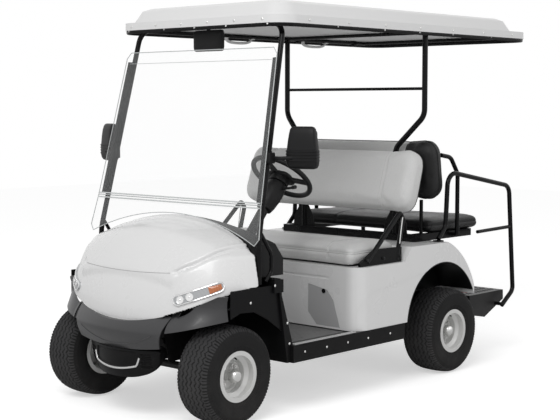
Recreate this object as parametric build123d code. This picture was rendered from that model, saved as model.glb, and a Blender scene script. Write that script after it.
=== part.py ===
from build123d import *
from math import atan, cos, radians, sin, tan
import os

# Golf cart with two seats facing forward and two facing back, in millimetres.
# +X is the cart's left, -Y its front, +Z up. Stations along Y are measured from the front
# axle, X from the middle of the cart and Z from the ground. write() moves the whole along
# Y, so that the origin is under the middle of the cart's box.

# ------------------------------------------------------------------ driving dimensions
WHEELBASE = 1640.0
NOSE_Y = -284.0                      # front lip of the bumper
REAR_OVERHANG = 775.0                # the roof's rear lip, behind the rear axle
ROOF_REAR_Y = WHEELBASE + REAR_OVERHANG
RUNNING_FIT = 0.05                   # between a shaft and its bore
SEAT_GAP = 0.3                       # between two pieces that rest on each other

TYRE_R = 228.5
TYRE_HALF_WIDTH = 100.0
FRONT_WHEEL_X = 468.0
REAR_WHEEL_X = 502.0
RIM_HALF_WIDTH = 89.0
RIM_FLANGE_R = 118.0
RIM_SEAT_R = 101.5
RIM_METAL = 4.0
STUD_CIRCLE_R = 50.8
STUD_R = 8.0
SPINDLE_R = 12.5
HALF_SHAFT_R = 14.0

KINGPIN_X = FRONT_WHEEL_X - 98
KINGPIN_R = 9.0
STEER_ARM = 60.0
TIE_ROD_R = 9.0
YOKE_HALF_HEIGHT = 42.0
YOKE_EAR = 12.0

BODY_HALF_WIDTH = 600.0
PANEL = 6.0
RAIL_X = 225.0
RAIL_WIDTH = 50.0
RAIL_HEIGHT = 60.0
RAIL_FRONT_Z = 395.0                 # underside of the frame rails, over each stretch
RAIL_MIDDLE_Z = 250.0
RAIL_REAR_Z = 400.0
FRAME_REAR_Y = WHEELBASE + 290
FLOOR_THICK = 12.0
FLOOR_BOTTOM_Z = RAIL_MIDDLE_Z + RAIL_HEIGHT
FLOOR_TOP_Z = FLOOR_BOTTOM_Z + FLOOR_THICK
SILL_INNER_X = BODY_HALF_WIDTH - 60
SILL_BOTTOM_Z = RAIL_MIDDLE_Z - 2
SILL_TOP_Z = FLOOR_TOP_Z + 8

POD_FRONT_Y = WHEELBASE - 838
POD_BASE_Z = SILL_TOP_Z + SEAT_GAP
POD_SEAT_Z = 650.0                   # deck under the front cushion
POD_DECK_Z = POD_SEAT_Z + 72         # deck under the rear seat
POD_STEP_Y = POD_FRONT_Y + 388
POD_STEP_RUN = 56.0
POD_TAIL_START_Y = WHEELBASE - 65
POD_REAR_Y = WHEELBASE + 186
POD_CORNER_R = 80.0
ARCH_Y = WHEELBASE - 110
ARCH_Z = 300.0
ARCH_R = 318.0
WELL_INNER_X = REAR_WHEEL_X - TYRE_HALF_WIDTH - 26

COWL_FRONT_Y = NOSE_Y + 52
COWL_REAR_Y = 110.0                  # the cowl's rear edge at the sides
COWL_BOW = 55.0                      # how much further back it reaches in the middle
COWL_CROWN_Z = 913.0
COWL_SIDE_X = BODY_HALF_WIDTH - 18
COWL_LIP_Z = 462.0                   # lower edge of the cowl, in the middle of the nose
COWL_LIP_RISE = 180.0                # and how much higher it ends at the sides
WELL_REAR_Y = 300.0
WELL_TOP_Z = 540.0
SHIELD_TOP_Z = 655.0

ROOF_RISE = 112.0                    # the moulded roof, from its lower edge to its top
ROOF_EDGE_Z = 1838.0
ROOF_TOP_Z = ROOF_EDGE_Z + ROOF_RISE
ROOF_HALF_WIDTH = BODY_HALF_WIDTH - 25
ROOF_FRONT_Y = 262.0
ROOF_REAR_LEDGE = 60.0
ROOF_SKIRT = 38.0
ROOF_SHELL = 6.0
CANOPY_TUBE_R = 13.0
CANOPY_RAIL_R = 11.0
HOOP_BASE_X = BODY_HALF_WIDTH - 40
HOOP_TOP_X = BODY_HALF_WIDTH - 100
HOOP_BASE_Y = COWL_REAR_Y + 21
HOOP_TOP_Y = 364.0
PANE_STANDOFF = 22.0                 # the windscreen, ahead of the pillars
HOOP_KNEE_Z = 830.0
RAIL_SPAN_X = BODY_HALF_WIDTH - 75
STRUT_X = BODY_HALF_WIDTH - 105
STRUT_Y = WHEELBASE - 150
STRUT_R = 15.0
POST_X = 330.0
POST_Y = WHEELBASE - 185

GLASS = 5.0
PANE_SEAM_Z = 1000.0
PANE_TOP_Z = ROOF_EDGE_Z - 113

SEAT_THICK = 105.0
SEAT_HALF_WIDTH = BODY_HALF_WIDTH - 60
BACK_THICK = 112.0
REAR_CUSHION_Z = POD_DECK_Z + 40
REAR_CUSHION_THICK = 72.0
REAR_CUSHION_HALF_WIDTH = BODY_HALF_WIDTH - 110

STEERING_X = 250.0
STEERING_Y = 624.0
STEERING_Z = 1100.0
STEERING_RAKE = 50.0
STEERING_R = 156.0
STEERING_RIM_R = 13.0
COLUMN_R = 25.0
COLUMN_LENGTH = 640.0

GRAB_X = BODY_HALF_WIDTH - 50
GRAB_R = 13.0
HIP_X = BODY_HALF_WIDTH - 28
STEP_HALF_WIDTH = 500.0
STEP_TOP_Z = 380.0
STEP_REACH = 345.0                   # the step, behind the frame

# ------------------------------------------------------------------ helpers
ORIGIN_Y = (NOSE_Y + ROOF_REAR_Y) / 2
FAR = 900.0                          # half length of a cutting block, past the whole body
os.makedirs("parts", exist_ok=True)


def write(node, *pieces):
    """Move the pieces to the cart's origin and write them as one STEP file."""
    solids = []
    for piece in pieces:
        solids.extend(piece.solids())
    whole = Compound(solids).moved(Pos(0, -ORIGIN_Y, 0))
    export_step(whole, f"parts/{node}.step")


def block(x0, x1, y0, y1, z0, z1):
    centre = Pos((x0 + x1) / 2, (y0 + y1) / 2, (z0 + z1) / 2)
    return centre * Box(x1 - x0, y1 - y0, z1 - z0)


def side_plate(points, x0, x1):
    """A (Y, Z) outline with straight sides, extruded from x0 to x1."""
    face = make_face(Plane.YZ.offset(x0) * Polyline(*points, close=True))
    return extrude(face, x1 - x0, dir=(1, 0, 0))


def front_plate(points, y0, y1):
    """An (X, Z) outline, extruded from y0 to y1."""
    face = make_face(Plane.XZ.offset(-y1) * Polyline(*points, close=True))
    return extrude(face, y1 - y0, dir=(0, -1, 0))


def rod(start, end, r):
    run = Vector(*end) - Vector(*start)
    return extrude(Plane(origin=start, z_dir=run.normalized()) * Circle(r), run.length)


def bent_tube(points, bends, r):
    """A round tube along straight runs joined by arcs."""
    path = FilletPolyline(*points, radius=bends)
    return sweep(Plane(origin=path @ 0, z_dir=path % 0) * Circle(r), path=path)


def mirrored(shape):
    return mirror(shape, about=Plane.YZ)


def both(shape):
    return [shape, mirrored(shape)]


def turned(profile_points):
    """A body of revolution about X from (x, r) points, before it is placed."""
    face = make_face(Plane.XY * Polyline(*profile_points, close=True))
    return revolve(face, axis=Axis.X)


# ------------------------------------------------------------------ wheels
def tyre():
    """Turf tyre: a hollow ring of rubber, open at the beads."""
    bead_r = RIM_SEAT_R + SEAT_GAP
    bead_x = RIM_HALF_WIDTH - RIM_METAL - SEAT_GAP
    flange_r = RIM_FLANGE_R + SEAT_GAP
    side = TYRE_HALF_WIDTH
    # (x, r) of the half section, from the bead over the sidewall to the crown
    outer = [
        (bead_x, bead_r),
        (bead_x, flange_r),
        (side - 4, flange_r + 12),
        (side, flange_r + 34),
        (side - 1, TYRE_R - 54),
        (side - 6, TYRE_R - 32),
        (side - 17, TYRE_R - 14),
        (side - 40, TYRE_R - 4),
    ]
    inner = [
        (bead_x - 11, bead_r),
        (bead_x - 11, flange_r),
        (side - 14, flange_r + 14),
        (side - 12, flange_r + 34),
        (side - 16, TYRE_R - 38),
        (side - 30, TYRE_R - 20),
        (side - 52, TYRE_R - 15),
    ]
    outline = [*outer, (0.0, TYRE_R), *[(-x, r) for x, r in reversed(outer)]]
    outline += [*[(-x, r) for x, r in inner], (0.0, TYRE_R - 13.5), *reversed(inner)]
    return turned(outline)


def rim(shaft_r):
    """Pressed steel rim with its hub, flange, wheel nuts and cap."""
    seat = RIM_SEAT_R
    drop = seat - 17.5
    lip_x = RIM_HALF_WIDTH - RIM_METAL
    # (x, r) along the outer face of the barrel, then along its inner face
    outer = [(RIM_HALF_WIDTH, RIM_FLANGE_R), (lip_x, RIM_FLANGE_R), (lip_x, seat)]
    outer += [(lip_x - 28, seat), (lip_x - 42, drop)]
    inner = [(RIM_HALF_WIDTH, seat - RIM_METAL), (lip_x - 26, seat - RIM_METAL)]
    inner += [(lip_x - 40, drop - RIM_METAL)]
    outline = [*outer, *[(-x, r) for x, r in reversed(outer)]]
    outline += [*[(-x, r) for x, r in inner], *reversed(inner)]
    bore = shaft_r + RUNNING_FIT
    dish = drop - 10
    disc = [(-2.0, bore), (5.0, bore), (5.0, dish - 8), (14.0, dish), (14.0, drop - 2)]
    disc += [(4.0, drop - 2), (-2.0, dish - 4)]
    hub = [(-58.0, bore), (44.0, bore), (44.0, 0.0), (52.0, 0.0), (52.0, shaft_r + 7)]
    hub += [(46.0, shaft_r + 11), (10.0, shaft_r + 15), (-8.0, dish - 8)]
    hub += [(-16.0, dish - 8), (-30.0, shaft_r + 21), (-58.0, shaft_r + 21)]
    wheel = turned(outline) + turned(disc) + turned(hub)
    for i in range(4):
        turn = radians(45 + 90 * i)
        y, z = STUD_CIRCLE_R * cos(turn), STUD_CIRCLE_R * sin(turn)
        wheel += rod((-10, y, z), (20, y, z), STUD_R)
    return wheel


WHEELS = [
    # name, side, x, y, shaft radius
    ("front_left", 1, FRONT_WHEEL_X, 0.0, SPINDLE_R),
    ("front_right", -1, FRONT_WHEEL_X, 0.0, SPINDLE_R),
    ("rear_left", 1, REAR_WHEEL_X, WHEELBASE, HALF_SHAFT_R),
    ("rear_right", -1, REAR_WHEEL_X, WHEELBASE, HALF_SHAFT_R),
]
tyre_shape = tyre()
rim_shapes = {r: rim(r) for r in (SPINDLE_R, HALF_SHAFT_R)}
for name, side, x, y, shaft_r in WHEELS:
    place = Pos(x, y, TYRE_R)
    pair = [place * tyre_shape, place * rim_shapes[shaft_r]]
    if side < 0:
        pair = [mirrored(p) for p in pair]
    write(f"tyre_{name}", pair[0])
    write(f"rim_{name}", pair[1])

# ------------------------------------------------------------------ front axle, steering
EYE_BOTTOM = TYRE_R - YOKE_HALF_HEIGHT
EYE_TOP = TYRE_R + YOKE_HALF_HEIGHT
EYE_HEIGHT = EYE_TOP - EYE_BOTTOM
SPRING_PAD_Z = TYRE_R + 24
TIE_ROD_Z = EYE_BOTTOM + 2.5 + TIE_ROD_R
beam = rod((-KINGPIN_X, 0, TYRE_R), (KINGPIN_X, 0, TYRE_R), 16)
spring_pad = block(RAIL_X - 30, RAIL_X + 30, -35, 35, TYRE_R, SPRING_PAD_Z)
beam += spring_pad
beam += mirrored(spring_pad)
for side in (1, -1):
    beam += Pos(side * KINGPIN_X, 0, TYRE_R) * Cylinder(20, EYE_HEIGHT)
for side in (1, -1):
    beam -= Pos(side * KINGPIN_X, 0, TYRE_R) * Cylinder(KINGPIN_R + RUNNING_FIT, EYE_HEIGHT)
write("front_axle_beam", beam)


def knuckle():
    """Kingpin yoke, spindle and steering arm of the left wheel."""
    low, high = EYE_BOTTOM - SEAT_GAP, EYE_TOP + SEAT_GAP
    base, crest = low - YOKE_EAR, high + YOKE_EAR
    x = KINGPIN_X
    part = Pos(x, 0, (high + crest) / 2) * Cylinder(20, YOKE_EAR)
    part += Pos(x, 0, (low + base) / 2) * Cylinder(20, YOKE_EAR)
    part += Pos(x, 0, TYRE_R) * Cylinder(KINGPIN_R, crest - base)
    part += block(x, x + 34, -20, 20, high, crest)
    part += block(x, x + 34, -20, 20, base, low)
    part += block(x + 22, x + 34, -20, 20, base, crest)
    part += rod((x + 28, 0, TYRE_R), (FRONT_WHEEL_X + 40, 0, TYRE_R), SPINDLE_R)
    part += block(x - 11, x + 11, 0, STEER_ARM, base, low)
    part += Pos(x, STEER_ARM, (low + base) / 2) * Cylinder(11, YOKE_EAR)
    part += rod((x, STEER_ARM, base), (x, STEER_ARM, TIE_ROD_Z + TIE_ROD_R + 3), 6)
    return part


left_knuckle = knuckle()
write("knuckle_left", left_knuckle)
write("knuckle_right", mirrored(left_knuckle))
tie_ends = [(side * KINGPIN_X, STEER_ARM, TIE_ROD_Z) for side in (-1, 1)]
tie = rod(*tie_ends, TIE_ROD_R)
for end in tie_ends:
    tie += Pos(*end) * Cylinder(11, 2 * TIE_ROD_R + 3)
for end in tie_ends:
    tie -= Pos(*end) * Cylinder(6 + RUNNING_FIT, 4 * TIE_ROD_R)
write("tie_rod", tie)

# ------------------------------------------------------------------ chassis
# (y, underside z) of the frame rails, which rise over both axles
RAIL_LINE = [
    (NOSE_Y + 94, RAIL_FRONT_Z),
    (200, RAIL_FRONT_Z),
    (WELL_REAR_Y + 5, RAIL_MIDDLE_Z),
    (WHEELBASE - 430, RAIL_MIDDLE_Z),
    (WHEELBASE - 310, RAIL_REAR_Z),
    (FRAME_REAR_Y, RAIL_REAR_Z),
]
# y, underside z of the cross members, and half their span where it isn't rail to rail
CROSS_MEMBERS = [
    (NOSE_Y + 94, RAIL_FRONT_Z),
    (WELL_REAR_Y + 30, RAIL_MIDDLE_Z),
    (POD_FRONT_Y + 18, RAIL_MIDDLE_Z),
    (WHEELBASE - 480, RAIL_MIDDLE_Z),
    (WHEELBASE - 220, RAIL_REAR_Z),
]
inner_rail_x = RAIL_X - RAIL_WIDTH / 2
rail_section = [*RAIL_LINE, *[(y, z + RAIL_HEIGHT) for y, z in reversed(RAIL_LINE)]]
left_rail = side_plate(rail_section, inner_rail_x, inner_rail_x + RAIL_WIDTH)
frame = left_rail + mirrored(left_rail)
for y, z in CROSS_MEMBERS:
    frame += block(-inner_rail_x - 1, inner_rail_x + 1, y, y + 50, z, z + RAIL_HEIGHT)
for y in (WELL_REAR_Y + 120, WHEELBASE - 520):
    outrigger = block(RAIL_X, SILL_INNER_X, y, y + 50, RAIL_MIDDLE_Z, FLOOR_BOTTOM_Z)
    frame += outrigger
    frame += mirrored(outrigger)
rear_beam_z = (RAIL_REAR_Z, RAIL_REAR_Z + RAIL_HEIGHT)
frame += block(-400, 400, FRAME_REAR_Y - 50, FRAME_REAR_Y, *rear_beam_z)
write("chassis_frame", frame)


def leaf_spring(axle_y, reach, rail_z, z):
    """A main leaf bowed from eye to eye, hung from the rail at both ends."""
    x0, x1 = RAIL_X - 22, RAIL_X + 22
    eye_z = rail_z - 26
    knee_z = z + (eye_z - z) * 0.3
    line = [
        (axle_y - reach, eye_z),
        (axle_y - reach * 0.45, knee_z),
        (axle_y, z),
        (axle_y + reach * 0.45, knee_z),
        (axle_y + reach, eye_z),
    ]
    leaf = side_plate([*line, *[(y, h + 12) for y, h in reversed(line)]], x0, x1)
    for y in (axle_y - reach, axle_y + reach):
        leaf += rod((x0, y, eye_z + 6), (x1, y, eye_z + 6), 14)
        leaf += block(x0 + 6, x1 - 6, y - 10, y + 10, eye_z + 6, rail_z - SEAT_GAP)
    return leaf


REAR_PAD_Z = TYRE_R + 40
front_leaf = leaf_spring(0, 190, RAIL_FRONT_Z, SPRING_PAD_Z + SEAT_GAP)
rear_leaf = leaf_spring(WHEELBASE, 262, RAIL_REAR_Z, REAR_PAD_Z + SEAT_GAP)
write("leaf_springs", *both(front_leaf), *both(rear_leaf))

# ------------------------------------------------------------------ rear axle and motor
SHAFT_END_X = REAR_WHEEL_X + 40
AXLE_END_X = REAR_WHEEL_X - 92
GEAR_CASE_R = 80.0
axle = rod((-AXLE_END_X, WHEELBASE, TYRE_R), (AXLE_END_X, WHEELBASE, TYRE_R), 28)
axle += Pos(0, WHEELBASE, TYRE_R) * (Rot(0, 90, 0) * Cylinder(GEAR_CASE_R, 110))
pad_y = (WHEELBASE - 35, WHEELBASE + 35)
axle_pad = block(RAIL_X - 30, RAIL_X + 30, *pad_y, TYRE_R, REAR_PAD_Z)
axle += axle_pad
axle += mirrored(axle_pad)
axle += rod((-SHAFT_END_X, WHEELBASE, TYRE_R), (SHAFT_END_X, WHEELBASE, TYRE_R), HALF_SHAFT_R)
write("rear_axle", axle)
motor_y = WHEELBASE + GEAR_CASE_R + SEAT_GAP
write("drive_motor", rod((0, motor_y, TYRE_R + 20), (0, motor_y + 230, TYRE_R + 20), 85))
battery_x = inner_rail_x - 5
battery_y = (POD_FRONT_Y + 43, POD_FRONT_Y + 403)
battery_z = (FLOOR_BOTTOM_Z + SEAT_GAP, POD_SEAT_Z - 60)
write("battery_pack", block(-battery_x, battery_x, *battery_y, *battery_z))

# ------------------------------------------------------------------ floor and sills
floor_y = (WELL_REAR_Y + 25, POD_FRONT_Y + 40)
floor_x = SILL_INNER_X
write("floor_pan", block(-floor_x, floor_x, *floor_y, FLOOR_BOTTOM_Z, FLOOR_TOP_Z))
sill_y = (WELL_REAR_Y + 25, ARCH_Y - ARCH_R - 22)
sill_z = (SILL_BOTTOM_Z, SILL_TOP_Z)
sill = block(SILL_INNER_X + SEAT_GAP, BODY_HALF_WIDTH, *sill_y, *sill_z)
write("rocker_panels", *both(sill))

# ------------------------------------------------------------------ front cowl
COWL_SECTIONS = [
    # z, front y, side x, shoulder x
    (430.0, COWL_FRONT_Y - 6, COWL_SIDE_X - 22, COWL_SIDE_X - 76),
    (600.0, COWL_FRONT_Y + 6, COWL_SIDE_X, COWL_SIDE_X - 78),
    (760.0, COWL_FRONT_Y + 60, COWL_SIDE_X - 26, COWL_SIDE_X - 140),
    (960.0, COWL_FRONT_Y + 142, COWL_SIDE_X - 62, COWL_SIDE_X - 220),
]
BONNET_LINE = [
    # y, crown z of the bonnet, and how far it drops towards the sides
    (COWL_FRONT_Y - 98, 500.0, 205.0),
    (COWL_FRONT_Y + 32, 700.0, 200.0),
    (COWL_FRONT_Y + 122, 822.0, 185.0),
    (COWL_FRONT_Y + 232, COWL_CROWN_Z - 28, 158.0),
    (COWL_REAR_Y + COWL_BOW, COWL_CROWN_Z + 3, 126.0),
]


def cowl_section(z, front_y, side_x, shoulder_x, inset):
    """Plan of the nose at one height: straight back, two swept corners, a bowed front."""
    rear_y = COWL_REAR_Y + COWL_BOW
    x = side_x - inset
    corner_x = 0.62 * side_x - 0.6 * inset
    corner_y = 0.80 * front_y + 0.9 * inset
    shoulder = (shoulder_x - inset, 0.33 * front_y + 0.5 * inset)
    lines = [
        Line((-x, rear_y, z), (-x, COWL_REAR_Y, z)),
        ThreePointArc(
            (-x, COWL_REAR_Y, z), (-shoulder[0], shoulder[1], z), (-corner_x, corner_y, z)
        ),
        ThreePointArc((-corner_x, corner_y, z), (0, front_y + inset, z), (corner_x, corner_y, z)),
        ThreePointArc((corner_x, corner_y, z), (*shoulder, z), (x, COWL_REAR_Y, z)),
        Line((x, COWL_REAR_Y, z), (x, rear_y, z)),
        Line((x, rear_y, z), (-x, rear_y, z)),
    ]
    return make_face(Wire(lines))


def bonnet_section(y, crown_z, side_drop, inset):
    half = BODY_HALF_WIDTH + 40
    drop = side_drop * (half / (BODY_HALF_WIDTH - 50)) ** 2
    top = crown_z - inset
    lines = [
        ThreePointArc((-half, y, top - drop), (0, y, top), (half, y, top - drop)),
        Line((half, y, top - drop), (half, y, 200)),
        Line((half, y, 200), (-half, y, 200)),
        Line((-half, y, 200), (-half, y, top - drop)),
    ]
    return make_face(Wire(lines))


def cowl_body(inset):
    plan = loft([cowl_section(*row, inset) for row in COWL_SECTIONS])
    bonnet = loft([bonnet_section(*row, inset) for row in BONNET_LINE])
    return plan & bonnet


def below_lip(centre_z, rise):
    """Everything under an arc across the nose that rises towards the sides."""
    half = BODY_HALF_WIDTH + 100
    edge_z = centre_z + rise * (half / COWL_SIDE_X) ** 2
    lines = [
        ThreePointArc((-half, FAR, edge_z), (0, FAR, centre_z), (half, FAR, edge_z)),
        Line((half, FAR, edge_z), (half, FAR, -FAR)),
        Line((half, FAR, -FAR), (-half, FAR, -FAR)),
        Line((-half, FAR, -FAR), (-half, FAR, edge_z)),
    ]
    return extrude(make_face(Wire(lines)), 2 * FAR, dir=(0, -1, 0))


def ahead_of_cowl_edge(gap):
    """Everything in front of the cowl's bowed rear edge."""
    half = BODY_HALF_WIDTH + 100
    middle_y = COWL_REAR_Y + COWL_BOW + gap
    edge_y = middle_y - COWL_BOW * (half / COWL_SIDE_X) ** 2
    lines = [
        ThreePointArc((-half, edge_y, -FAR), (0, middle_y, -FAR), (half, edge_y, -FAR)),
        Line((half, edge_y, -FAR), (half, -FAR, -FAR)),
        Line((half, -FAR, -FAR), (-half, -FAR, -FAR)),
        Line((-half, -FAR, -FAR), (-half, edge_y, -FAR)),
    ]
    return extrude(make_face(Wire(lines)), 3 * FAR, dir=(0, 0, 1))


# raised panel of the bonnet, in plan: a bowed front edge and sides that spread to the rear
HOOD_RAISE = 11.0
HOOD_FRONT_X = 322.0
HOOD_REAR_X = BODY_HALF_WIDTH - 85
hood_front_y = COWL_FRONT_Y + 47
hood_rear_y = COWL_REAR_Y + 2 * COWL_BOW
hood_plan = [
    ThreePointArc(
        (-HOOD_FRONT_X, hood_front_y, 600),
        (0, hood_front_y - 23, 600),
        (HOOD_FRONT_X, hood_front_y, 600),
    ),
    Line((HOOD_FRONT_X, hood_front_y, 600), (HOOD_REAR_X, COWL_REAR_Y, 600)),
    Line((HOOD_REAR_X, COWL_REAR_Y, 600), (HOOD_REAR_X, hood_rear_y, 600)),
    Line((HOOD_REAR_X, hood_rear_y, 600), (-HOOD_REAR_X, hood_rear_y, 600)),
    Line((-HOOD_REAR_X, hood_rear_y, 600), (-HOOD_REAR_X, COWL_REAR_Y, 600)),
    Line((-HOOD_REAR_X, COWL_REAR_Y, 600), (-HOOD_FRONT_X, hood_front_y, 600)),
]
hood_prism = extrude(make_face(Wire(hood_plan)), 500, dir=(0, 0, 1))
skin = cowl_body(0) + (cowl_body(-HOOD_RAISE) & hood_prism)
skin -= cowl_body(PANEL)
skin -= below_lip(COWL_LIP_Z, COWL_LIP_RISE)
skin = skin & ahead_of_cowl_edge(0)
write("front_cowl", skin)

# head lamps follow the cowl's corner, each seen as a long bar with round inner end
LAMP_LENGTH = 248.0
LAMP_HEIGHT = 46.0
LAMP_PROUD = 6.0
LAMP_X = COWL_SIDE_X - 146
LAMP_Y = COWL_FRONT_Y + 96
LAMP_Z = 609.0
LAMP_SWEEP = 39.0        # degrees, of the lamp's length from straight across
LAMP_CLIMB = 18.0        # degrees, up towards its outer end
lamp_out = Vector(sin(radians(LAMP_SWEEP)), -cos(radians(LAMP_SWEEP)), 0)
lamp_along = Vector(cos(radians(LAMP_SWEEP)), sin(radians(LAMP_SWEEP)), 0)
lamp_axis = lamp_along * cos(radians(LAMP_CLIMB)) + Vector(0, 0, sin(radians(LAMP_CLIMB)))
lamp_start = Vector(LAMP_X, LAMP_Y, LAMP_Z) - lamp_out * 60
lamp_plane = Plane(origin=lamp_start, x_dir=lamp_axis, z_dir=lamp_out)
lamp_prism = extrude(lamp_plane * SlotOverall(LAMP_LENGTH, LAMP_HEIGHT), 160)
lamp = (cowl_body(-LAMP_PROUD) & lamp_prism) - cowl_body(-SEAT_GAP)
write("head_lamps", *both(lamp))

# ------------------------------------------------------------------ bumper and grille
BUMPER_OUT = COWL_FRONT_Y - NOSE_Y   # how far the bumper stands out of the cowl
BUMPER_LIP_Z = 331.0
BUMPER_CENTRE_X = 326.0              # the middle piece ends here, and its lip further in
BUMPER_LIP_X = 262.0
BUMPER_GAP = 10.0
BUMPER_ROWS = [
    # z, how far out of the cowl
    (325.0, 24.0),
    (378.0, BUMPER_OUT - 8),
    (422.0, BUMPER_OUT - 0.62),
    (462.0, BUMPER_OUT - 20),
    (600.0, 9.0),
]


def bumper_body(inset):
    side_x = COWL_SIDE_X - 14
    sections = []
    for z, out in BUMPER_ROWS:
        sections.append(cowl_section(z, COWL_FRONT_Y - out, side_x, side_x - 26, inset))
    return loft(sections)


lip_z = COWL_LIP_Z - SEAT_GAP
nose = bumper_body(0) & below_lip(lip_z, COWL_LIP_RISE)
nose -= bumper_body(PANEL) & below_lip(lip_z - PANEL, COWL_LIP_RISE)
nose -= cowl_body(2 * PANEL)
nose -= block(-FAR, FAR, -60, FAR, 0, FAR)
corner_lip = below_lip(BUMPER_LIP_Z + 67, 102)
corner_x = BUMPER_CENTRE_X + BUMPER_GAP
middle = nose - below_lip(BUMPER_LIP_Z, 90)
middle_front = [(BUMPER_CENTRE_X, 600), (BUMPER_CENTRE_X, 520), (BUMPER_LIP_X, BUMPER_LIP_Z - 40)]
middle_front += [(-x, z) for x, z in reversed(middle_front)]
middle &= front_plate(middle_front, -FAR, FAR)
for side in (1, -1):
    x0, x1 = sorted((side * (RAIL_X - 15), side * (RAIL_X + 15)))
    bracket = block(x0, x1, NOSE_Y, NOSE_Y + 94 - SEAT_GAP, 405, 440)
    middle += bracket & bumper_body(PANEL / 2)
corner = (nose - corner_lip) & block(corner_x, FAR, -FAR, FAR, 0, FAR)
behind_seam = bumper_body(PANEL) - bumper_body(2 * PANEL) - corner_lip
behind_seam &= below_lip(lip_z, COWL_LIP_RISE)
corner += behind_seam & block(BUMPER_CENTRE_X - 12, corner_x + 10, -FAR, 0, 0, FAR)
middle -= corner
write("front_bumper", middle, *both(corner))

# scoop under the bumper: a bowed band with three slots each side of its middle
SCOOP_DEPTH = 136.0
SCOOP_TOP_X = 262.0
SCOOP_BOTTOM_X = 190.0
scoop_top_z = BUMPER_LIP_Z + 4


def scoop_section(z, half, front_y, inset):
    y = front_y + inset
    x = half - inset
    end_y = front_y + 34
    lines = [
        ThreePointArc((-x, end_y, z), (0, y, z), (x, end_y, z)),
        Line((x, end_y, z), (x, end_y + 24, z)),
        Line((x, end_y + 24, z), (-x, end_y + 24, z)),
        Line((-x, end_y + 24, z), (-x, end_y, z)),
    ]
    return make_face(Wire(lines))


def scoop_body(inset):
    top = scoop_section(scoop_top_z, SCOOP_TOP_X, NOSE_Y + 34.0, inset)
    bottom_z = BUMPER_LIP_Z - SCOOP_DEPTH
    bottom = scoop_section(bottom_z, SCOOP_BOTTOM_X, NOSE_Y + 40, inset)
    return loft([bottom, top], ruled=True)


scoop = scoop_body(0) - scoop_body(PANEL)
for row in range(3):
    slot_z = BUMPER_LIP_Z - 46 - 20 * row
    for side in (1, -1):
        x0, x1 = sorted((side * 128, side * 190))
        scoop -= block(x0, x1, -FAR, COWL_FRONT_Y + 95, slot_z, slot_z + 12)
write("front_grille", scoop)

# ------------------------------------------------------------------ fenders, leg shield
WELL_X = 300.0
FENDER_FRONT_Y = -60.0
fender_x = COWL_SIDE_X - 12
TOE_LEAN = 52.0                      # the toe board's top, ahead of its foot
# (y, z) of the arch over the front wheel, then up to the cowl's lower edge
FENDER = [
    (FENDER_FRONT_Y, WELL_TOP_Z - 40),
    (0, WELL_TOP_Z - 20),
    (90, WELL_TOP_Z - 25),
    (180, WELL_TOP_Z - 70),
    (WELL_REAR_Y - 18, WELL_TOP_Z - 140),
    (WELL_REAR_Y - TOE_LEAN, SHIELD_TOP_Z),
    (FENDER_FRONT_Y, SHIELD_TOP_Z),
]
# (y, z) of the side of the footwell, with its rounded cap at the top
SHIELD = [
    (WELL_REAR_Y, SILL_BOTTOM_Z + 2),
    (WELL_REAR_Y - TOE_LEAN, SHIELD_TOP_Z - 66),
    (WELL_REAR_Y - TOE_LEAN - 35, SHIELD_TOP_Z - 66),
    (WELL_REAR_Y - TOE_LEAN - 35, SHIELD_TOP_Z),
    (WELL_REAR_Y - TOE_LEAN + 27, SHIELD_TOP_Z - 6),
    (WELL_REAR_Y - TOE_LEAN + 27, SHIELD_TOP_Z - 66),
    (WELL_REAR_Y - TOE_LEAN + 11, SHIELD_TOP_Z - 66),
    (WELL_REAR_Y + 40, SILL_TOP_Z + 2),
    (WELL_REAR_Y + 40, SILL_BOTTOM_Z + 2),
]
under_cowl = below_lip(COWL_LIP_Z - SEAT_GAP, COWL_LIP_RISE)
fender = side_plate(FENDER, fender_x - PANEL, fender_x) & under_cowl
well_y = (FENDER_FRONT_Y, WELL_REAR_Y - TOE_LEAN + 14)
fender += block(WELL_X, fender_x - 1, *well_y, WELL_TOP_Z, WELL_TOP_Z + PANEL)
fender += block(WELL_X - PANEL, WELL_X, *well_y, WELL_TOP_Z - 80, WELL_TOP_Z + PANEL)
shield = side_plate(SHIELD, SILL_INNER_X, COWL_SIDE_X)
shield -= block(SILL_INNER_X - 1, FAR, WELL_REAR_Y + 25, FAR, 0, SILL_TOP_Z + SEAT_GAP)


def toe_y(z):
    """Y of the toe board's rear face, which leans forward to its top."""
    rise = (z - SILL_BOTTOM_Z - 2) / (SHIELD_TOP_Z - SILL_BOTTOM_Z - 2)
    return WELL_REAR_Y - TOE_LEAN * rise + PANEL


toe_front = [(toe_y(z) - PANEL, z) for z in (SILL_BOTTOM_Z + 2, SHIELD_TOP_Z)]
toe_rear = [(toe_y(z), z) for z in (SHIELD_TOP_Z, SILL_BOTTOM_Z + 2)]
toe = side_plate([*toe_front, *toe_rear], -COWL_SIDE_X, COWL_SIDE_X)
toe -= block(-WELL_X, WELL_X, 0, FAR, 0, RAIL_FRONT_Z + 75)
# splash panels along the frame rails, over the front axle
splash_x = (RAIL_X + RAIL_WIDTH / 2 + SEAT_GAP, RAIL_X + RAIL_WIDTH / 2 + PANEL)
splash = [
    (NOSE_Y + 110, RAIL_FRONT_Z + 10),
    (-150, EYE_TOP + 8),
    (toe_y(330), EYE_TOP + 8),
    (toe_y(500), 500),
    (NOSE_Y + 140, 460),
]
splash = side_plate(splash, *splash_x)
for piece in (*both(shield), *both(fender), *both(splash)):
    toe += piece

# ------------------------------------------------------------------ dash
dash_z = SHIELD_TOP_Z + 5
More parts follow.
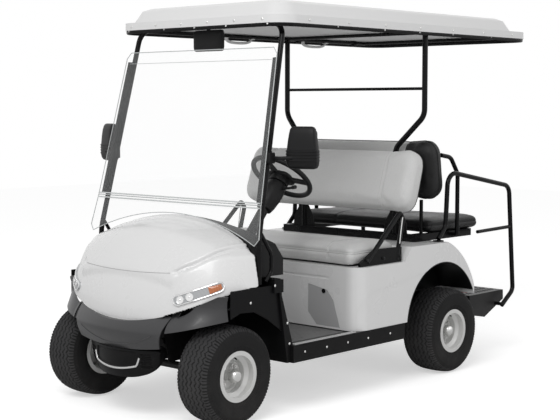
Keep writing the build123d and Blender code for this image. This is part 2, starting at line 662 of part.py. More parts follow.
# (y, z) outline of the dash, behind the rear edge of the cowl
DASH = [
    (COWL_REAR_Y - 60, dash_z),
    (WELL_REAR_Y + 40, dash_z),
    (WELL_REAR_Y + 40, dash_z + 80),
    (WELL_REAR_Y - 30, dash_z + 170),
    (COWL_REAR_Y + COWL_BOW + 30, COWL_CROWN_Z + 12),
    (COWL_REAR_Y - 60, COWL_CROWN_Z + 12),
]
DASH_HALF_WIDTH = COWL_SIDE_X - 62
dash = side_plate(DASH, -DASH_HALF_WIDTH, DASH_HALF_WIDTH)
dash &= extrude(bonnet_section(WELL_REAR_Y + 100, COWL_CROWN_Z + 8, 126.0, 0), FAR, dir=(0, -1, 0))
dash -= ahead_of_cowl_edge(SEAT_GAP)
for side in (1, -1):
    x0, x1 = sorted((side * 150, side * 480))
    dash -= block(x0, x1, WELL_REAR_Y - 60, FAR, dash_z + 30, dash_z + 75)


def down_column(distance):
    """A point on the steering column's axis, below the wheel's centre."""
    rake = radians(STEERING_RAKE)
    y = STEERING_Y - cos(rake) * distance
    return (STEERING_X, y, STEERING_Z - sin(rake) * distance)


column_hole = rod(down_column(300), down_column(COLUMN_LENGTH + 60), COLUMN_R + 1)
write("leg_shield", toe - column_hole)
write("dashboard", dash - column_hole)

# ------------------------------------------------------------------ steering wheel, pedals
COLUMN_TOP = 62.0
STEM_R = 9.0
column = rod(down_column(COLUMN_TOP), down_column(COLUMN_LENGTH), COLUMN_R)
column -= rod(down_column(0), down_column(COLUMN_TOP + 90), STEM_R + RUNNING_FIT)
write("steering_column", column)

rake = radians(STEERING_RAKE)
wheel_axis = (0, cos(rake), sin(rake))
wheel_plane = Plane(origin=down_column(0), x_dir=(1, 0, 0), z_dir=wheel_axis)
wheel = revolve(Plane.XZ * Pos(STEERING_R, 0) * Circle(STEERING_RIM_R), axis=Axis.Z)
hub = Pos(0, 0, -24) * Cylinder(50, 36)
hub += Pos(0, 0, -90) * Cylinder(STEM_R, 110)
for turn in (12, 168, 270):
    spoke = Pos(STEERING_R / 2 + 18, 0, -7) * Box(STEERING_R - 40, 30, 12)
    hub += Rot(0, 0, turn) * spoke
write("steering_wheel", wheel_plane.location * (wheel + hub))

pedal_y = WELL_REAR_Y + 30
PEDALS = [
    # x0, x1, foot y, foot z
    (330.0, 400.0, pedal_y, 350.0),
    (190.0, 280.0, pedal_y + 15, 380.0),
]
pedals = []
for x0, x1, y, z in PEDALS:
    pedal = side_plate([(y, z), (y + 14, z - 4), (pedal_y + 70, 470), (pedal_y + 56, 476)], x0, x1)
    arm_x = (x0 + 4, x0 + 24)
    arm_y = (toe_y(472) + SEAT_GAP, pedal_y + 62)
    pedals.append(pedal + block(*arm_x, *arm_y, 472, 482))
write("pedals", *pedals)

# ------------------------------------------------------------------ rear body
pod_plan = make_face(
    Plane.XY.offset(POD_BASE_Z)
    * FilletPolyline(
        (-BODY_HALF_WIDTH, POD_REAR_Y),
        (-BODY_HALF_WIDTH, POD_FRONT_Y),
        (BODY_HALF_WIDTH, POD_FRONT_Y),
        (BODY_HALF_WIDTH, POD_REAR_Y),
        radius=[POD_CORNER_R, POD_CORNER_R],
        close=False,
    )
    + Plane.XY.offset(POD_BASE_Z)
    * Line((BODY_HALF_WIDTH, POD_REAR_Y), (-BODY_HALF_WIDTH, POD_REAR_Y))
)


def pod_prism(inset):
    plan = offset(pod_plan, -inset) if inset else pod_plan
    return extrude(plan, 500, dir=(0, 0, 1))


def pod_side(inset):
    """The rear body from the side: seat deck, step up to the rear deck, rounded tail."""
    top, deck = POD_SEAT_Z - inset, POD_DECK_Z - inset
    front = POD_FRONT_Y - 50
    tail = POD_REAR_Y - inset
    tail_z = POD_BASE_Z + 130
    step0 = POD_STEP_Y + inset
    bend = (POD_TAIL_START_Y + 0.55 * (tail - POD_TAIL_START_Y), deck - 0.34 * (deck - tail_z))
    lines = [
        Line((front, 0), (front, top)),
        Line((front, top), (step0, top)),
        Line((step0, top), (step0 + POD_STEP_RUN, deck)),
        Line((step0 + POD_STEP_RUN, deck), (POD_TAIL_START_Y, deck)),
        ThreePointArc((POD_TAIL_START_Y, deck), bend, (tail, tail_z)),
        Line((tail, tail_z), (tail, 0)),
        Line((tail, 0), (front, 0)),
    ]
    face = make_face(Plane.YZ.offset(-FAR) * Wire(lines))
    return extrude(face, 2 * FAR, dir=(1, 0, 0))


pod = (pod_prism(0) & pod_side(0)) - (pod_prism(PANEL) & pod_side(PANEL))
arch = rod((WELL_INNER_X, ARCH_Y, ARCH_Z), (FAR, ARCH_Y, ARCH_Z), ARCH_R)
arch += block(WELL_INNER_X, FAR, ARCH_Y, ARCH_Y + FAR, 0, ARCH_Z + 100)

# shallow recess in each side, ahead of the wheel arch, and a slot across the front
RECESS = 2.0
recess_y = POD_FRONT_Y + 22
recess_lines = [
    Line((recess_y - 6, 0), (recess_y, POD_BASE_Z + 86)),
    ThreePointArc(
        (recess_y, POD_BASE_Z + 86),
        (recess_y + 38, POD_BASE_Z + 156),
        (recess_y + 125, POD_BASE_Z + 195),
    ),
    Line((recess_y + 125, POD_BASE_Z + 195), (ARCH_Y, POD_BASE_Z + 270)),
    Line((ARCH_Y, POD_BASE_Z + 270), (ARCH_Y, 0)),
    Line((ARCH_Y, 0), (recess_y - 6, 0)),
]
recess_face = make_face(Plane.YZ.offset(-FAR) * Wire(recess_lines))
recess = extrude(recess_face, 2 * FAR, dir=(1, 0, 0)) & (pod_prism(0) - pod_prism(RECESS))
recess &= block(-FAR, FAR, POD_FRONT_Y + 10, FAR * 2, 0, FAR)
pod -= recess
SLOT_X = 410.0
SLOT_Z = POD_SEAT_Z - 63
for side in (1, -1):
    x0, x1 = sorted((side * 20, side * SLOT_X))
    pod -= block(x0, x1, POD_FRONT_Y, POD_FRONT_Y + PANEL / 2, SLOT_Z - 7, SLOT_Z + 7)

# access panel in its own recess beside the driver's feet
ACCESS_DEPTH = 3.0
# (x, z) of the panel, a shield with one swept side
ACCESS = [
    (272, SLOT_Z - 38),
    (400, SLOT_Z - 62),
    (440, SLOT_Z - 110),
    (484, SLOT_Z - 246),
    (330, SLOT_Z - 246),
    (272, SLOT_Z - 185),
]
pod -= front_plate(ACCESS, POD_FRONT_Y - 1, POD_FRONT_Y + ACCESS_DEPTH)
pod -= arch
pod -= mirrored(arch)
# openings over the batteries, the axle and the frame
hatch_y = (POD_FRONT_Y + 58, POD_FRONT_Y + 348)
pod -= block(-260, 260, *hatch_y, POD_SEAT_Z - 20, POD_SEAT_Z + 20)
pod -= block(-340, 340, WHEELBASE - 140, WHEELBASE + 360, 0, POD_SEAT_Z - 90)
write("rear_body", pod)

access_plane = Plane.XZ.offset(-POD_FRONT_Y - ACCESS_DEPTH + SEAT_GAP)
panel_face = make_face(access_plane * Polyline(*ACCESS, close=True))
panel_face = offset(panel_face, -1.0)
write("access_panel", extrude(panel_face, ACCESS_DEPTH + 0.5, dir=(0, -1, 0)))

# liners of the rear wheel arches
liner_r = ARCH_R - SEAT_GAP
liner_end = (BODY_HALF_WIDTH - 1, ARCH_Y, ARCH_Z)
liner = rod((WELL_INNER_X, ARCH_Y, ARCH_Z), liner_end, liner_r)
liner -= rod((WELL_INNER_X - 1, ARCH_Y, ARCH_Z), (FAR, ARCH_Y, ARCH_Z), liner_r - PANEL)
liner += rod((WELL_INNER_X, ARCH_Y, ARCH_Z), (WELL_INNER_X + PANEL, ARCH_Y, ARCH_Z), liner_r)
liner -= block(0, FAR, ARCH_Y - FAR, ARCH_Y, -FAR, POD_BASE_Z)
liner -= block(0, FAR, ARCH_Y, ARCH_Y + FAR, -FAR, ARCH_Z + 140)
axle_slot_y = (WHEELBASE - 60, WHEELBASE + 60)
liner -= block(WELL_INNER_X - 5, WELL_INNER_X + 20, *axle_slot_y, 0, ARCH_Z + 120)
write("rear_wheel_wells", *both(liner))

# ------------------------------------------------------------------ seats
def cushion(half_width, y0, y1, z0, thick, r):
    return fillet(block(-half_width, half_width, y0, y1, z0, z0 + thick).edges(), r)


cushion_y = (POD_FRONT_Y + 13, POD_STEP_Y - 4)
front_cushion_z = POD_SEAT_Z + SEAT_GAP
write("front_seat_cushion", cushion(SEAT_HALF_WIDTH, *cushion_y, front_cushion_z, SEAT_THICK, 38))
rear_cushion_y = (WHEELBASE - 85, WHEELBASE + 385)
rear_cushion_size = (REAR_CUSHION_Z, REAR_CUSHION_THICK, 28)
write("rear_seat_cushion", cushion(REAR_CUSHION_HALF_WIDTH, *rear_cushion_y, *rear_cushion_size))

BACKS = {
    # low y, low z, lean in degrees, height, half width
    "front": (POD_FRONT_Y + 444, 905.0, 20.0, 325.0, BODY_HALF_WIDTH - 10),
    "rear": (WHEELBASE - 50, 950.0, -8.0, 315.0, BODY_HALF_WIDTH - 65),
}
for name, (low_y, low_z, lean, height, half_width) in BACKS.items():
    pad = Box(2 * half_width, BACK_THICK, height)
    pad = fillet(pad.edges().filter_by(Axis.Y), 85)
    pad = fillet(pad.edges().filter_by(Plane.XZ), 34)
    leaning = Pos(0, low_y, low_z) * (Rot(-lean, 0, 0) * (Pos(0, 0, height / 2) * pad))
    write(f"{name}_backrest", leaning)


def back_face(name, z, toward):
    """Y of a backrest's flat face at height z, on its front (-1) or rear (1) side."""
    low_y, low_z, lean = BACKS[name][:3]
    lean = radians(lean)
    return low_y + (z - low_z) * tan(lean) + toward * BACK_THICK / 2 / cos(lean)


# ------------------------------------------------------------------ struts and seat frame
frame_tube_z = ROOF_EDGE_Z + 4
ARM_HALF = 12.0
FRAME_BAR = 30.0
seat_frame_z = (POD_DECK_Z + SEAT_GAP, REAR_CUSHION_Z - SEAT_GAP)
strut_top_z = frame_tube_z - CANOPY_RAIL_R + 0.3
strut = bent_tube(
    [
        (STRUT_X, STRUT_Y, strut_top_z),
        (STRUT_X, STRUT_Y, 1400),
        (POST_X, POST_Y, 1225),
        (POST_X, POST_Y, seat_frame_z[0]),
    ],
    [90, 70],
    STRUT_R,
)
for z in (1040.0, 1100.0):
    front_y = back_face("front", z + ARM_HALF, 1) + SEAT_GAP
    rear_y = back_face("rear", z + ARM_HALF, -1) - SEAT_GAP
    arm_x = (POST_X - ARM_HALF, POST_X + ARM_HALF)
    strut += block(*arm_x, front_y, rear_y, z - ARM_HALF, z + ARM_HALF)
bar_x = BODY_HALF_WIDTH - 120
frame_rear_y = rear_cushion_y[1] - 60
struts = strut + mirrored(strut)
struts += rod((-POST_X, POST_Y, 980), (POST_X, POST_Y, 980), 10)
struts += rod((-STRUT_X, STRUT_Y, 1545), (STRUT_X, STRUT_Y, 1545), 8)
for side in (1, -1):
    foot = (side * (bar_x - 40), WHEELBASE - 97, seat_frame_z[0])
    struts += rod(foot, (*foot[:2], 944), 10)
    x0, x1 = sorted((side * (bar_x - 52), side * (bar_x - 28)))
    struts += block(x0, x1, POST_Y, foot[1] + 10, *seat_frame_z)
struts += block(-bar_x, bar_x, POST_Y - FRAME_BAR / 2, POST_Y + FRAME_BAR / 2, *seat_frame_z)
struts += block(-bar_x, bar_x, frame_rear_y - FRAME_BAR, frame_rear_y, *seat_frame_z)
for side in (1, -1):
    x0, x1 = sorted((side * (bar_x - FRAME_BAR), side * bar_x))
    struts += block(x0, x1, POST_Y - FRAME_BAR / 2, frame_rear_y, *seat_frame_z)
write("rear_struts", struts)

# ------------------------------------------------------------------ hip restraints
hip_foot_y = POD_FRONT_Y + 104
hip = bent_tube(
    [
        (HIP_X, hip_foot_y, POD_SEAT_Z + 18),
        (HIP_X, hip_foot_y + 272, POD_SEAT_Z + 255),
        (HIP_X, hip_foot_y + 299, POD_SEAT_Z + 220),
        (HIP_X, hip_foot_y + 242, POD_SEAT_Z + 10),
    ],
    [14, 14],
    12,
)
# (y, z) of the plate that closes the corner under the tube
hip_plate = [
    (hip_foot_y - 60, POD_SEAT_Z + SEAT_GAP),
    (hip_foot_y + 278, POD_SEAT_Z + SEAT_GAP),
    (hip_foot_y + 280, POD_SEAT_Z + 76),
    (hip_foot_y + 62, POD_SEAT_Z + 82),
    (hip_foot_y - 60, POD_SEAT_Z + 19),
]
hip += side_plate(hip_plate, HIP_X - 7, HIP_X + 7)
write("hip_restraints", *both(hip))

# ------------------------------------------------------------------ rear step
step_y = (FRAME_REAR_Y + SEAT_GAP, FRAME_REAR_Y + STEP_REACH)
# (y, z) of the tub under the step's deck
TUB = [
    (step_y[0], STEP_TOP_Z),
    (step_y[1], STEP_TOP_Z),
    (step_y[1] + 2, STEP_TOP_Z - 54),
    (step_y[0] + 154, STEP_TOP_Z - 140),
    (step_y[0] + 36, STEP_TOP_Z - 118),
    (step_y[0], STEP_TOP_Z - 80),
]
STEP_WALL = 5.0
tub_face = make_face(Plane.YZ.offset(-STEP_HALF_WIDTH) * Polyline(*TUB, close=True))
tub = extrude(tub_face, 2 * STEP_HALF_WIDTH, dir=(1, 0, 0))
hollow_face = offset(tub_face, -STEP_WALL)
hollow_half = STEP_HALF_WIDTH - STEP_WALL
hollow = extrude(Pos(STEP_WALL, 0, 0) * hollow_face, 2 * hollow_half, dir=(1, 0, 0))
tub -= hollow
tub -= block(-hollow_half, hollow_half, 0, step_y[0] + 20, 0, STEP_TOP_Z - STEP_WALL)
for side in (1, -1):
    x0, x1 = sorted((side * (RAIL_X + 75), side * (RAIL_X + 125)))
    hanger_z = (STEP_TOP_Z - STEP_WALL, RAIL_REAR_Z - SEAT_GAP)
    tub += block(x0, x1, step_y[0] - 46, step_y[0] - 1, *hanger_z)
    tub += block(x0, x1, step_y[0] - 46, step_y[0] + 10, hanger_z[0], STEP_TOP_Z)
write("rear_step", tub)

# ------------------------------------------------------------------ grab rails, rear hoops
grab_foot_y = WHEELBASE - 90
grab_top_y = WHEELBASE + 605
rail = bent_tube(
    [
        (GRAB_X, grab_foot_y, POD_DECK_Z + 14),
        (GRAB_X, grab_foot_y + 66, POD_DECK_Z + 80),
        (GRAB_X, grab_foot_y + 85, 1098),
        (GRAB_X, grab_top_y, 992),
        (GRAB_X, grab_top_y + 55, STEP_TOP_Z),
        (GRAB_X, grab_top_y - 60, STEP_TOP_Z - 78),
    ],
    [50, 70, 60, 45],
    GRAB_R,
)
rail += rod((GRAB_X, WHEELBASE + 285, 748), (GRAB_X, grab_top_y + 19, 755), 10)
foot_y = (grab_foot_y - 22, grab_foot_y + 22)
rail += block(GRAB_X - 20, GRAB_X + 20, *foot_y, POD_DECK_Z + SEAT_GAP, POD_DECK_Z + 8)
rail_foot = (GRAB_X, grab_top_y - 52, STEP_TOP_Z - 72)
rail += rod(rail_foot, (STEP_HALF_WIDTH + SEAT_GAP, *rail_foot[1:]), 10)
HOOP_R = 12.0
hoop_x = GRAB_X - 35
hoop_z = 1186.0
hoop = bent_tube(
    [
        (hoop_x, back_face("rear", hoop_z - HOOP_R, 1) + 2.5, hoop_z),
        (hoop_x, WHEELBASE + 68, hoop_z - 14),
        (hoop_x, WHEELBASE + 136, 1080),
        (hoop_x, WHEELBASE + 136, seat_frame_z[0] + 20),
    ],
    [60, 60],
    HOOP_R,
)
hoop_foot = (hoop_x, WHEELBASE + 136, seat_frame_z[0] + 20)
hoop += rod(hoop_foot, (bar_x + SEAT_GAP, *hoop_foot[1:]), 10)
write("grab_rails", *both(rail), *both(hoop))

# ------------------------------------------------------------------ roof
def roof_outline(z, inset, r, ledge=0.0):
    x = ROOF_HALF_WIDTH - inset
    y0, y1 = ROOF_FRONT_Y + inset, ROOF_REAR_Y - inset - ledge
    return Pos(0, (y0 + y1) / 2, z) * RectangleRounded(2 * x, y1 - y0, r)


def roof_body(inset):
    skirt = extrude(roof_outline(ROOF_EDGE_Z - inset, inset, 110 - inset), ROOF_SKIRT)
    top_z = ROOF_TOP_Z - inset
    ledge = ROOF_REAR_LEDGE
    crown = loft(
        [
            roof_outline(ROOF_EDGE_Z + ROOF_SKIRT - 9, 30 + inset, 100, ledge),
            roof_outline(top_z - 13, 68 + inset, 90, ledge),
            roof_outline(top_z, 100 + inset, 80, ledge),
        ],
        ruled=True,
    )
    return skirt + crown


write("roof_panel", roof_body(0) - roof_body(ROOF_SHELL))
liner_bottom_z = frame_tube_z + CANOPY_TUBE_R + SEAT_GAP
liner_top_z = ROOF_EDGE_Z + ROOF_SKIRT - ROOF_SHELL - SEAT_GAP
liner_inset = ROOF_SHELL + SEAT_GAP
liner_face = roof_outline(liner_bottom_z, liner_inset, 110 - liner_inset)
write("roof_liner", extrude(liner_face, liner_top_z - liner_bottom_z))

# one bent hoop makes both front pillars, with a short brace behind each foot
hoop_half = [
    (HOOP_BASE_X, HOOP_BASE_Y, 637.0),
    (HOOP_BASE_X - 2, HOOP_BASE_Y, HOOP_KNEE_Z),
    (HOOP_TOP_X, HOOP_TOP_Y, frame_tube_z),
]
hoop_line = [*hoop_half, *[(-x, y, z) for x, y, z in reversed(hoop_half)]]
canopy = bent_tube(hoop_line, [250, 70, 70, 250], CANOPY_TUBE_R)
brace = bent_tube(
    [
        (HOOP_BASE_X, HOOP_BASE_Y + 12, HOOP_KNEE_Z + 44),
        (HOOP_BASE_X, HOOP_BASE_Y + 84, HOOP_KNEE_Z - 60),
        (HOOP_BASE_X, HOOP_BASE_Y + 84, HOOP_KNEE_Z - 140),
        (HOOP_BASE_X, HOOP_BASE_Y + 44, HOOP_KNEE_Z - 184),
    ],
    [50, 40],
    9,
)
rail_y = (HOOP_TOP_Y + 8, WHEELBASE + 610)
for side in (1, -1):
    x = side * RAIL_SPAN_X
    canopy += rod((x, rail_y[0], frame_tube_z), (x, rail_y[1], frame_tube_z), CANOPY_RAIL_R)
    lug_x = sorted((side * (HOOP_TOP_X - 75), x))
    canopy += block(*lug_x, HOOP_TOP_Y + 6, HOOP_TOP_Y + 20, frame_tube_z - 8, frame_tube_z + 8)
for y in (STRUT_Y, rail_y[1] - 20):
    canopy += rod((-RAIL_SPAN_X, y, frame_tube_z), (RAIL_SPAN_X, y, frame_tube_z), 10)
canopy += brace
canopy += mirrored(brace)
write("canopy_frame", canopy)

# ------------------------------------------------------------------ windscreen, mirrors
PANE_LEAN = (HOOP_TOP_Y - HOOP_BASE_Y) / (frame_tube_z - HOOP_KNEE_Z)
PANE_HALF_WIDTH = BODY_HALF_WIDTH - 25


def pillar_y(z):
    return HOOP_BASE_Y + max(0.0, z - HOOP_KNEE_Z) * PANE_LEAN


def pillar_x(z):
    lean = (HOOP_BASE_X - HOOP_TOP_X) / (frame_tube_z - HOOP_KNEE_Z)
    return HOOP_BASE_X - max(0.0, z - HOOP_KNEE_Z) * lean


def pane_y(z):
    """Y of the windscreen's rear face."""
    reach = CANOPY_TUBE_R / cos(atan(PANE_LEAN)) + PANE_STANDOFF
    return HOOP_BASE_Y + (z - HOOP_KNEE_Z) * PANE_LEAN - reach


def pane(outline):
    """A flat pane in front of the pillars, from its outline as (x, z) edges."""
    z0, z1 = HOOP_KNEE_Z - 100, ROOF_EDGE_Z
    y0, y1 = pane_y(z0), pane_y(z1)
    sheet = side_plate([(y0, z0), (y1, z1), (y1 - GLASS, z1), (y0 - GLASS, z0)], -FAR, FAR)
    face = make_face(Plane.XZ.offset(FAR) * Wire(outline))
    return sheet & extrude(face, 2 * FAR, dir=(0, 1, 0))


seam = PANE_SEAM_Z + SEAT_GAP
top_half = PANE_HALF_WIDTH - 48
upper = [
    Line((-PANE_HALF_WIDTH, seam), (-top_half, PANE_TOP_Z - 30)),
    Line((-top_half, PANE_TOP_Z - 30), (-top_half + 26, PANE_TOP_Z)),
    Line((-top_half + 26, PANE_TOP_Z), (top_half - 26, PANE_TOP_Z)),
    Line((top_half - 26, PANE_TOP_Z), (top_half, PANE_TOP_Z - 30)),
    Line((top_half, PANE_TOP_Z - 30), (PANE_HALF_WIDTH, seam)),
    Line((PANE_HALF_WIDTH, seam), (-PANE_HALF_WIDTH, seam)),
]
write("windscreen_upper", pane(upper))
low_half = PANE_HALF_WIDTH + 20
pane_low_z = COWL_CROWN_Z - 95
lower = [
    Line((-PANE_HALF_WIDTH, PANE_SEAM_Z), (-low_half, pane_low_z + 30)),
    Line((-low_half, pane_low_z + 30), (-low_half + 24, pane_low_z)),
    ThreePointArc((-low_half + 24, pane_low_z), (0, COWL_CROWN_Z + 24), (low_half - 24, pane_low_z)),
    Line((low_half - 24, pane_low_z), (low_half, pane_low_z + 30)),
    Line((low_half, pane_low_z + 30), (PANE_HALF_WIDTH, PANE_SEAM_Z)),
    Line((PANE_HALF_WIDTH, PANE_SEAM_Z), (-PANE_HALF_WIDTH, PANE_SEAM_Z)),
]
write("windscreen_lower", pane(lower))

# clamp strips between the pillars and the windscreen
STRIP_HALF = 11.0
strip_z = (PANE_SEAM_Z + 10, PANE_TOP_Z - 46)
strip_front = [(pane_y(z) + SEAT_GAP, z) for z in strip_z]
strip_rear = [(y + PANE_STANDOFF - 2 * SEAT_GAP, z) for y, z in reversed(strip_front)]
strip = side_plate([*strip_front, *strip_rear], -STRIP_HALF, STRIP_HALF)
strip_lean = atan((HOOP_BASE_X - HOOP_TOP_X) / (frame_tube_z - HOOP_KNEE_Z))
strip = Pos(pillar_x(strip_z[0]), 0, 0) * strip
strip = strip.rotate(Axis((pillar_x(strip_z[0]), 0, strip_z[0]), (0, 1, 0)), -strip_lean * 57.29578)
write("windscreen_strips", *both(strip))

MIRROR_Z = 1165.0
MIRROR_SIZE = (168.0, 50.0, 195.0)
MIRROR_YAW = 18.0
mirror_x = HOOP_BASE_X + 126
mirror_y = HOOP_BASE_Y + 168
shell = fillet(Box(*MIRROR_SIZE).edges(), 18)
shell = Pos(mirror_x, mirror_y, MIRROR_Z + MIRROR_SIZE[2] / 2) * (Rot(0, 0, MIRROR_YAW) * shell)
arm_z = MIRROR_Z + 50
arm_x = pillar_x(arm_z) + CANOPY_TUBE_R - 0.3
arm = bent_tube(
    [
        (arm_x, pillar_y(arm_z), arm_z),
        (mirror_x - 70, pillar_y(arm_z), arm_z),
        (mirror_x - 10, mirror_y - 5, arm_z),
    ],
    [20],
    8,
)
CENTRE_MIRROR_HALF = 100.0
centre_z = (ROOF_EDGE_Z - 148, ROOF_EDGE_Z - 48)
centre_y = (HOOP_TOP_Y - 12, HOOP_TOP_Y + 16)
centre = block(-CENTRE_MIRROR_HALF, CENTRE_MIRROR_HALF, *centre_y, *centre_z)
centre = fillet(centre.edges().filter_by(Axis.Y), 12)
stem_z = (centre_z[1] - 5, frame_tube_z - CANOPY_TUBE_R - SEAT_GAP)
centre += block(-20, 20, HOOP_TOP_Y - 8, HOOP_TOP_Y + 12, *stem_z)
write("mirrors", *both(shell + arm), centre)

# ------------------------------------------------------------------ tail lamps
tail_x = (BODY_HALF_WIDTH - 95, BODY_HALF_WIDTH - 40)
tail_y = (POD_REAR_Y + SEAT_GAP, POD_REAR_Y + 16)
tail_lamp = block(*tail_x, *tail_y, POD_BASE_Z + 84, POD_BASE_Z + 124)
tail_lamp = fillet(tail_lamp.edges().filter_by(Axis.Y), 9)
write("tail_lamps", *both(tail_lamp))
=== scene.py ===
import math

import bmesh
import bpy
from mathutils import Matrix, Vector
from mathutils.bvhtree import BVHTree
from mathutils.kdtree import KDTree


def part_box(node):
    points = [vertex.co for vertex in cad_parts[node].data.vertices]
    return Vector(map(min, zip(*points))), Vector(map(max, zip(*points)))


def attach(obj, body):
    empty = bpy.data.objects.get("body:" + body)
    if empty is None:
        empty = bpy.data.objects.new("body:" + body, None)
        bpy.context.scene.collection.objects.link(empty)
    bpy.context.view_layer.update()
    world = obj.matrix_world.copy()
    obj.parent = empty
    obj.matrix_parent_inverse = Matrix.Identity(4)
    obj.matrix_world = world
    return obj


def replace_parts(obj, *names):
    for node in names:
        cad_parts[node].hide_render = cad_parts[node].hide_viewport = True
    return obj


bl_info = {
    "name": "Golf cart dressing",
    "version": (1, 0, 0),
    "blender": (4, 5, 0),
    "location": "View3D > Sidebar > Cart",
    "description": "Dresses a four-seat golf cart: tyres, seats, trim, lamps, fasteners and finishes",
    "category": "Object",
}

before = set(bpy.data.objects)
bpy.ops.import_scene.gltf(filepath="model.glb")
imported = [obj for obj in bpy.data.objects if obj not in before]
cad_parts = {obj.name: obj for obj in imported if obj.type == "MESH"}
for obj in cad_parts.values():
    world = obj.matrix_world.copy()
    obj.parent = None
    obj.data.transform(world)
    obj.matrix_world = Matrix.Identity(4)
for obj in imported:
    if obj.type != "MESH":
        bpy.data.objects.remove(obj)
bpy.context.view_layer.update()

SIDES = (1, -1)
WHEELS = ("front_left", "front_right", "rear_left", "rear_right")


# ---------------------------------------------------------------- settings
class CartSizes(bpy.types.PropertyGroup):
    """Sizes of the dressed parts."""

    tread_depth: bpy.props.FloatProperty(
        name="Tread depth", description="Depth of the zigzag grooves", default=0.0045, unit="LENGTH")
    tread_pitches: bpy.props.IntProperty(
        name="Tread pitches", description="Zigzags round one tyre", default=46)
    groove_width: bpy.props.FloatProperty(
        name="Groove width", description="Width of one groove", default=0.0042, unit="LENGTH")
    seam_depth: bpy.props.FloatProperty(
        name="Seam depth", description="How far a sewn seam pulls in", default=0.005, unit="LENGTH")
    hood_valley: bpy.props.FloatProperty(
        name="Hood valley", description="Depth of the valley along each side of the hood", default=0.0105,
        unit="LENGTH")
    welt_radius: bpy.props.FloatProperty(
        name="Welt radius", description="Radius of the sewn welts", default=0.0032, unit="LENGTH")
    pad_swell: bpy.props.FloatProperty(
        name="Pad swell", description="Most that a pad may swell", default=0.014, unit="LENGTH")
    screw_radius: bpy.props.FloatProperty(
        name="Screw radius", description="Radius of a trim screw's head", default=0.0065, unit="LENGTH")
    edge_trim: bpy.props.FloatProperty(
        name="Pane edge", description="Radius of the polished edge of a pane", default=0.0022, unit="LENGTH")
    diamond_pitch: bpy.props.FloatProperty(
        name="Diamond pitch", description="Spacing of the step's raised diamonds", default=0.028,
        unit="LENGTH")
    rib_pitch: bpy.props.FloatProperty(
        name="Mat rib pitch", description="Spacing of the floor mat's ribs", default=0.022, unit="LENGTH")


def colour(name, words, value):
    """A colour property with its default."""
    return bpy.props.FloatVectorProperty(
        name=name, description=words, default=value, size=3, subtype="COLOR", min=0.0, max=1.0)


class CartColours(bpy.types.PropertyGroup):
    """Colours of the finishes."""

    body: colour("Body", "Moulded body panels", (0.76, 0.76, 0.76))
    roof: colour("Roof", "Moulded roof", (0.74, 0.74, 0.74))
    panel: colour("Access panel", "Panel in the seat box", (0.43, 0.43, 0.435))
    bumper: colour("Bumper", "Bumper and grille plastic", (0.030, 0.030, 0.032))
    trim: colour("Black trim", "Fenders, leg shield and sills", (0.006, 0.006, 0.0065))
    tube: colour("Tubes", "Powder coated tubes", (0.004, 0.004, 0.0045))
    steel: colour("Wheel steel", "Painted wheel discs", (0.70, 0.70, 0.69))
    rubber: colour("Tyre rubber", "Tyre rubber", (0.013, 0.013, 0.0135))
    vinyl: colour("Light vinyl", "Front seat and centre panels", (0.70, 0.70, 0.695))
    vinyl_dark: colour("Dark vinyl", "Rear seat and backs", (0.009, 0.009, 0.0095))
    mat: colour("Floor mat", "Ribbed floor mat", (0.20, 0.20, 0.20))
    amber: colour("Amber", "Turn signal lens", (0.42, 0.12, 0.03))


# ---------------------------------------------------------------- node groups
def new_group(name, inputs, outputs):
    """An empty shader node group with number sockets."""
    group = bpy.data.node_groups.new(name, "ShaderNodeTree")
    for label, value in inputs:
        socket = group.interface.new_socket(name=label, in_out="INPUT", socket_type="NodeSocketFloat")
        socket.default_value = value
    for label in outputs:
        group.interface.new_socket(name=label, in_out="OUTPUT", socket_type="NodeSocketFloat")
    return group, group.nodes.new("NodeGroupInput"), group.nodes.new("NodeGroupOutput")


def math_node(tree, operation, a, b, clamp=False):
    """A Math node on two numbers or sockets."""
    node = tree.nodes.new("ShaderNodeMath")
    node.operation = operation
    node.use_clamp = clamp
    for socket, value in zip(node.inputs, (a, b)):
        if isinstance(value, (int, float)):
            socket.default_value = value
        else:
            tree.links.new(value, socket)
    return node.outputs[0]


def noise(tree, vector, scale, detail, rough=0.55):
    """A Noise texture's value; its scale is a number or a socket."""
    node = tree.nodes.new("ShaderNodeTexNoise")
    node.inputs["Detail"].default_value = detail
    node.inputs["Roughness"].default_value = rough
    tree.links.new(vector, node.inputs["Vector"])
    if isinstance(scale, (int, float)):
        node.inputs["Scale"].default_value = scale
    else:
        tree.links.new(scale, node.inputs["Scale"])
    return node.outputs["Fac"]


def moulded_group():
    """Fine moulding texture and slow colour drift of a plastic or painted surface."""
    group, given, out = new_group(
        "Moulded surface", (("Grain Scale", 900.0), ("Drift Scale", 3.0)), ("Grain", "Drift", "Scuffs"))
    place = group.nodes.new("ShaderNodeTexCoord").outputs["Object"]
    grain = noise(group, place, given.outputs["Grain Scale"], 2.0)
    drift = noise(group, place, given.outputs["Drift Scale"], 3.0)
    fine = noise(group, place, math_node(group, "MULTIPLY", given.outputs["Drift Scale"], 14.0), 6.0, 0.7)
    scuffs = math_node(group, "MULTIPLY", math_node(group, "SUBTRACT", fine, 0.56, True), 4.0, True)
    group.links.new(grain, out.inputs["Grain"])
    group.links.new(drift, out.inputs["Drift"])
    group.links.new(scuffs, out.inputs["Scuffs"])
    return group


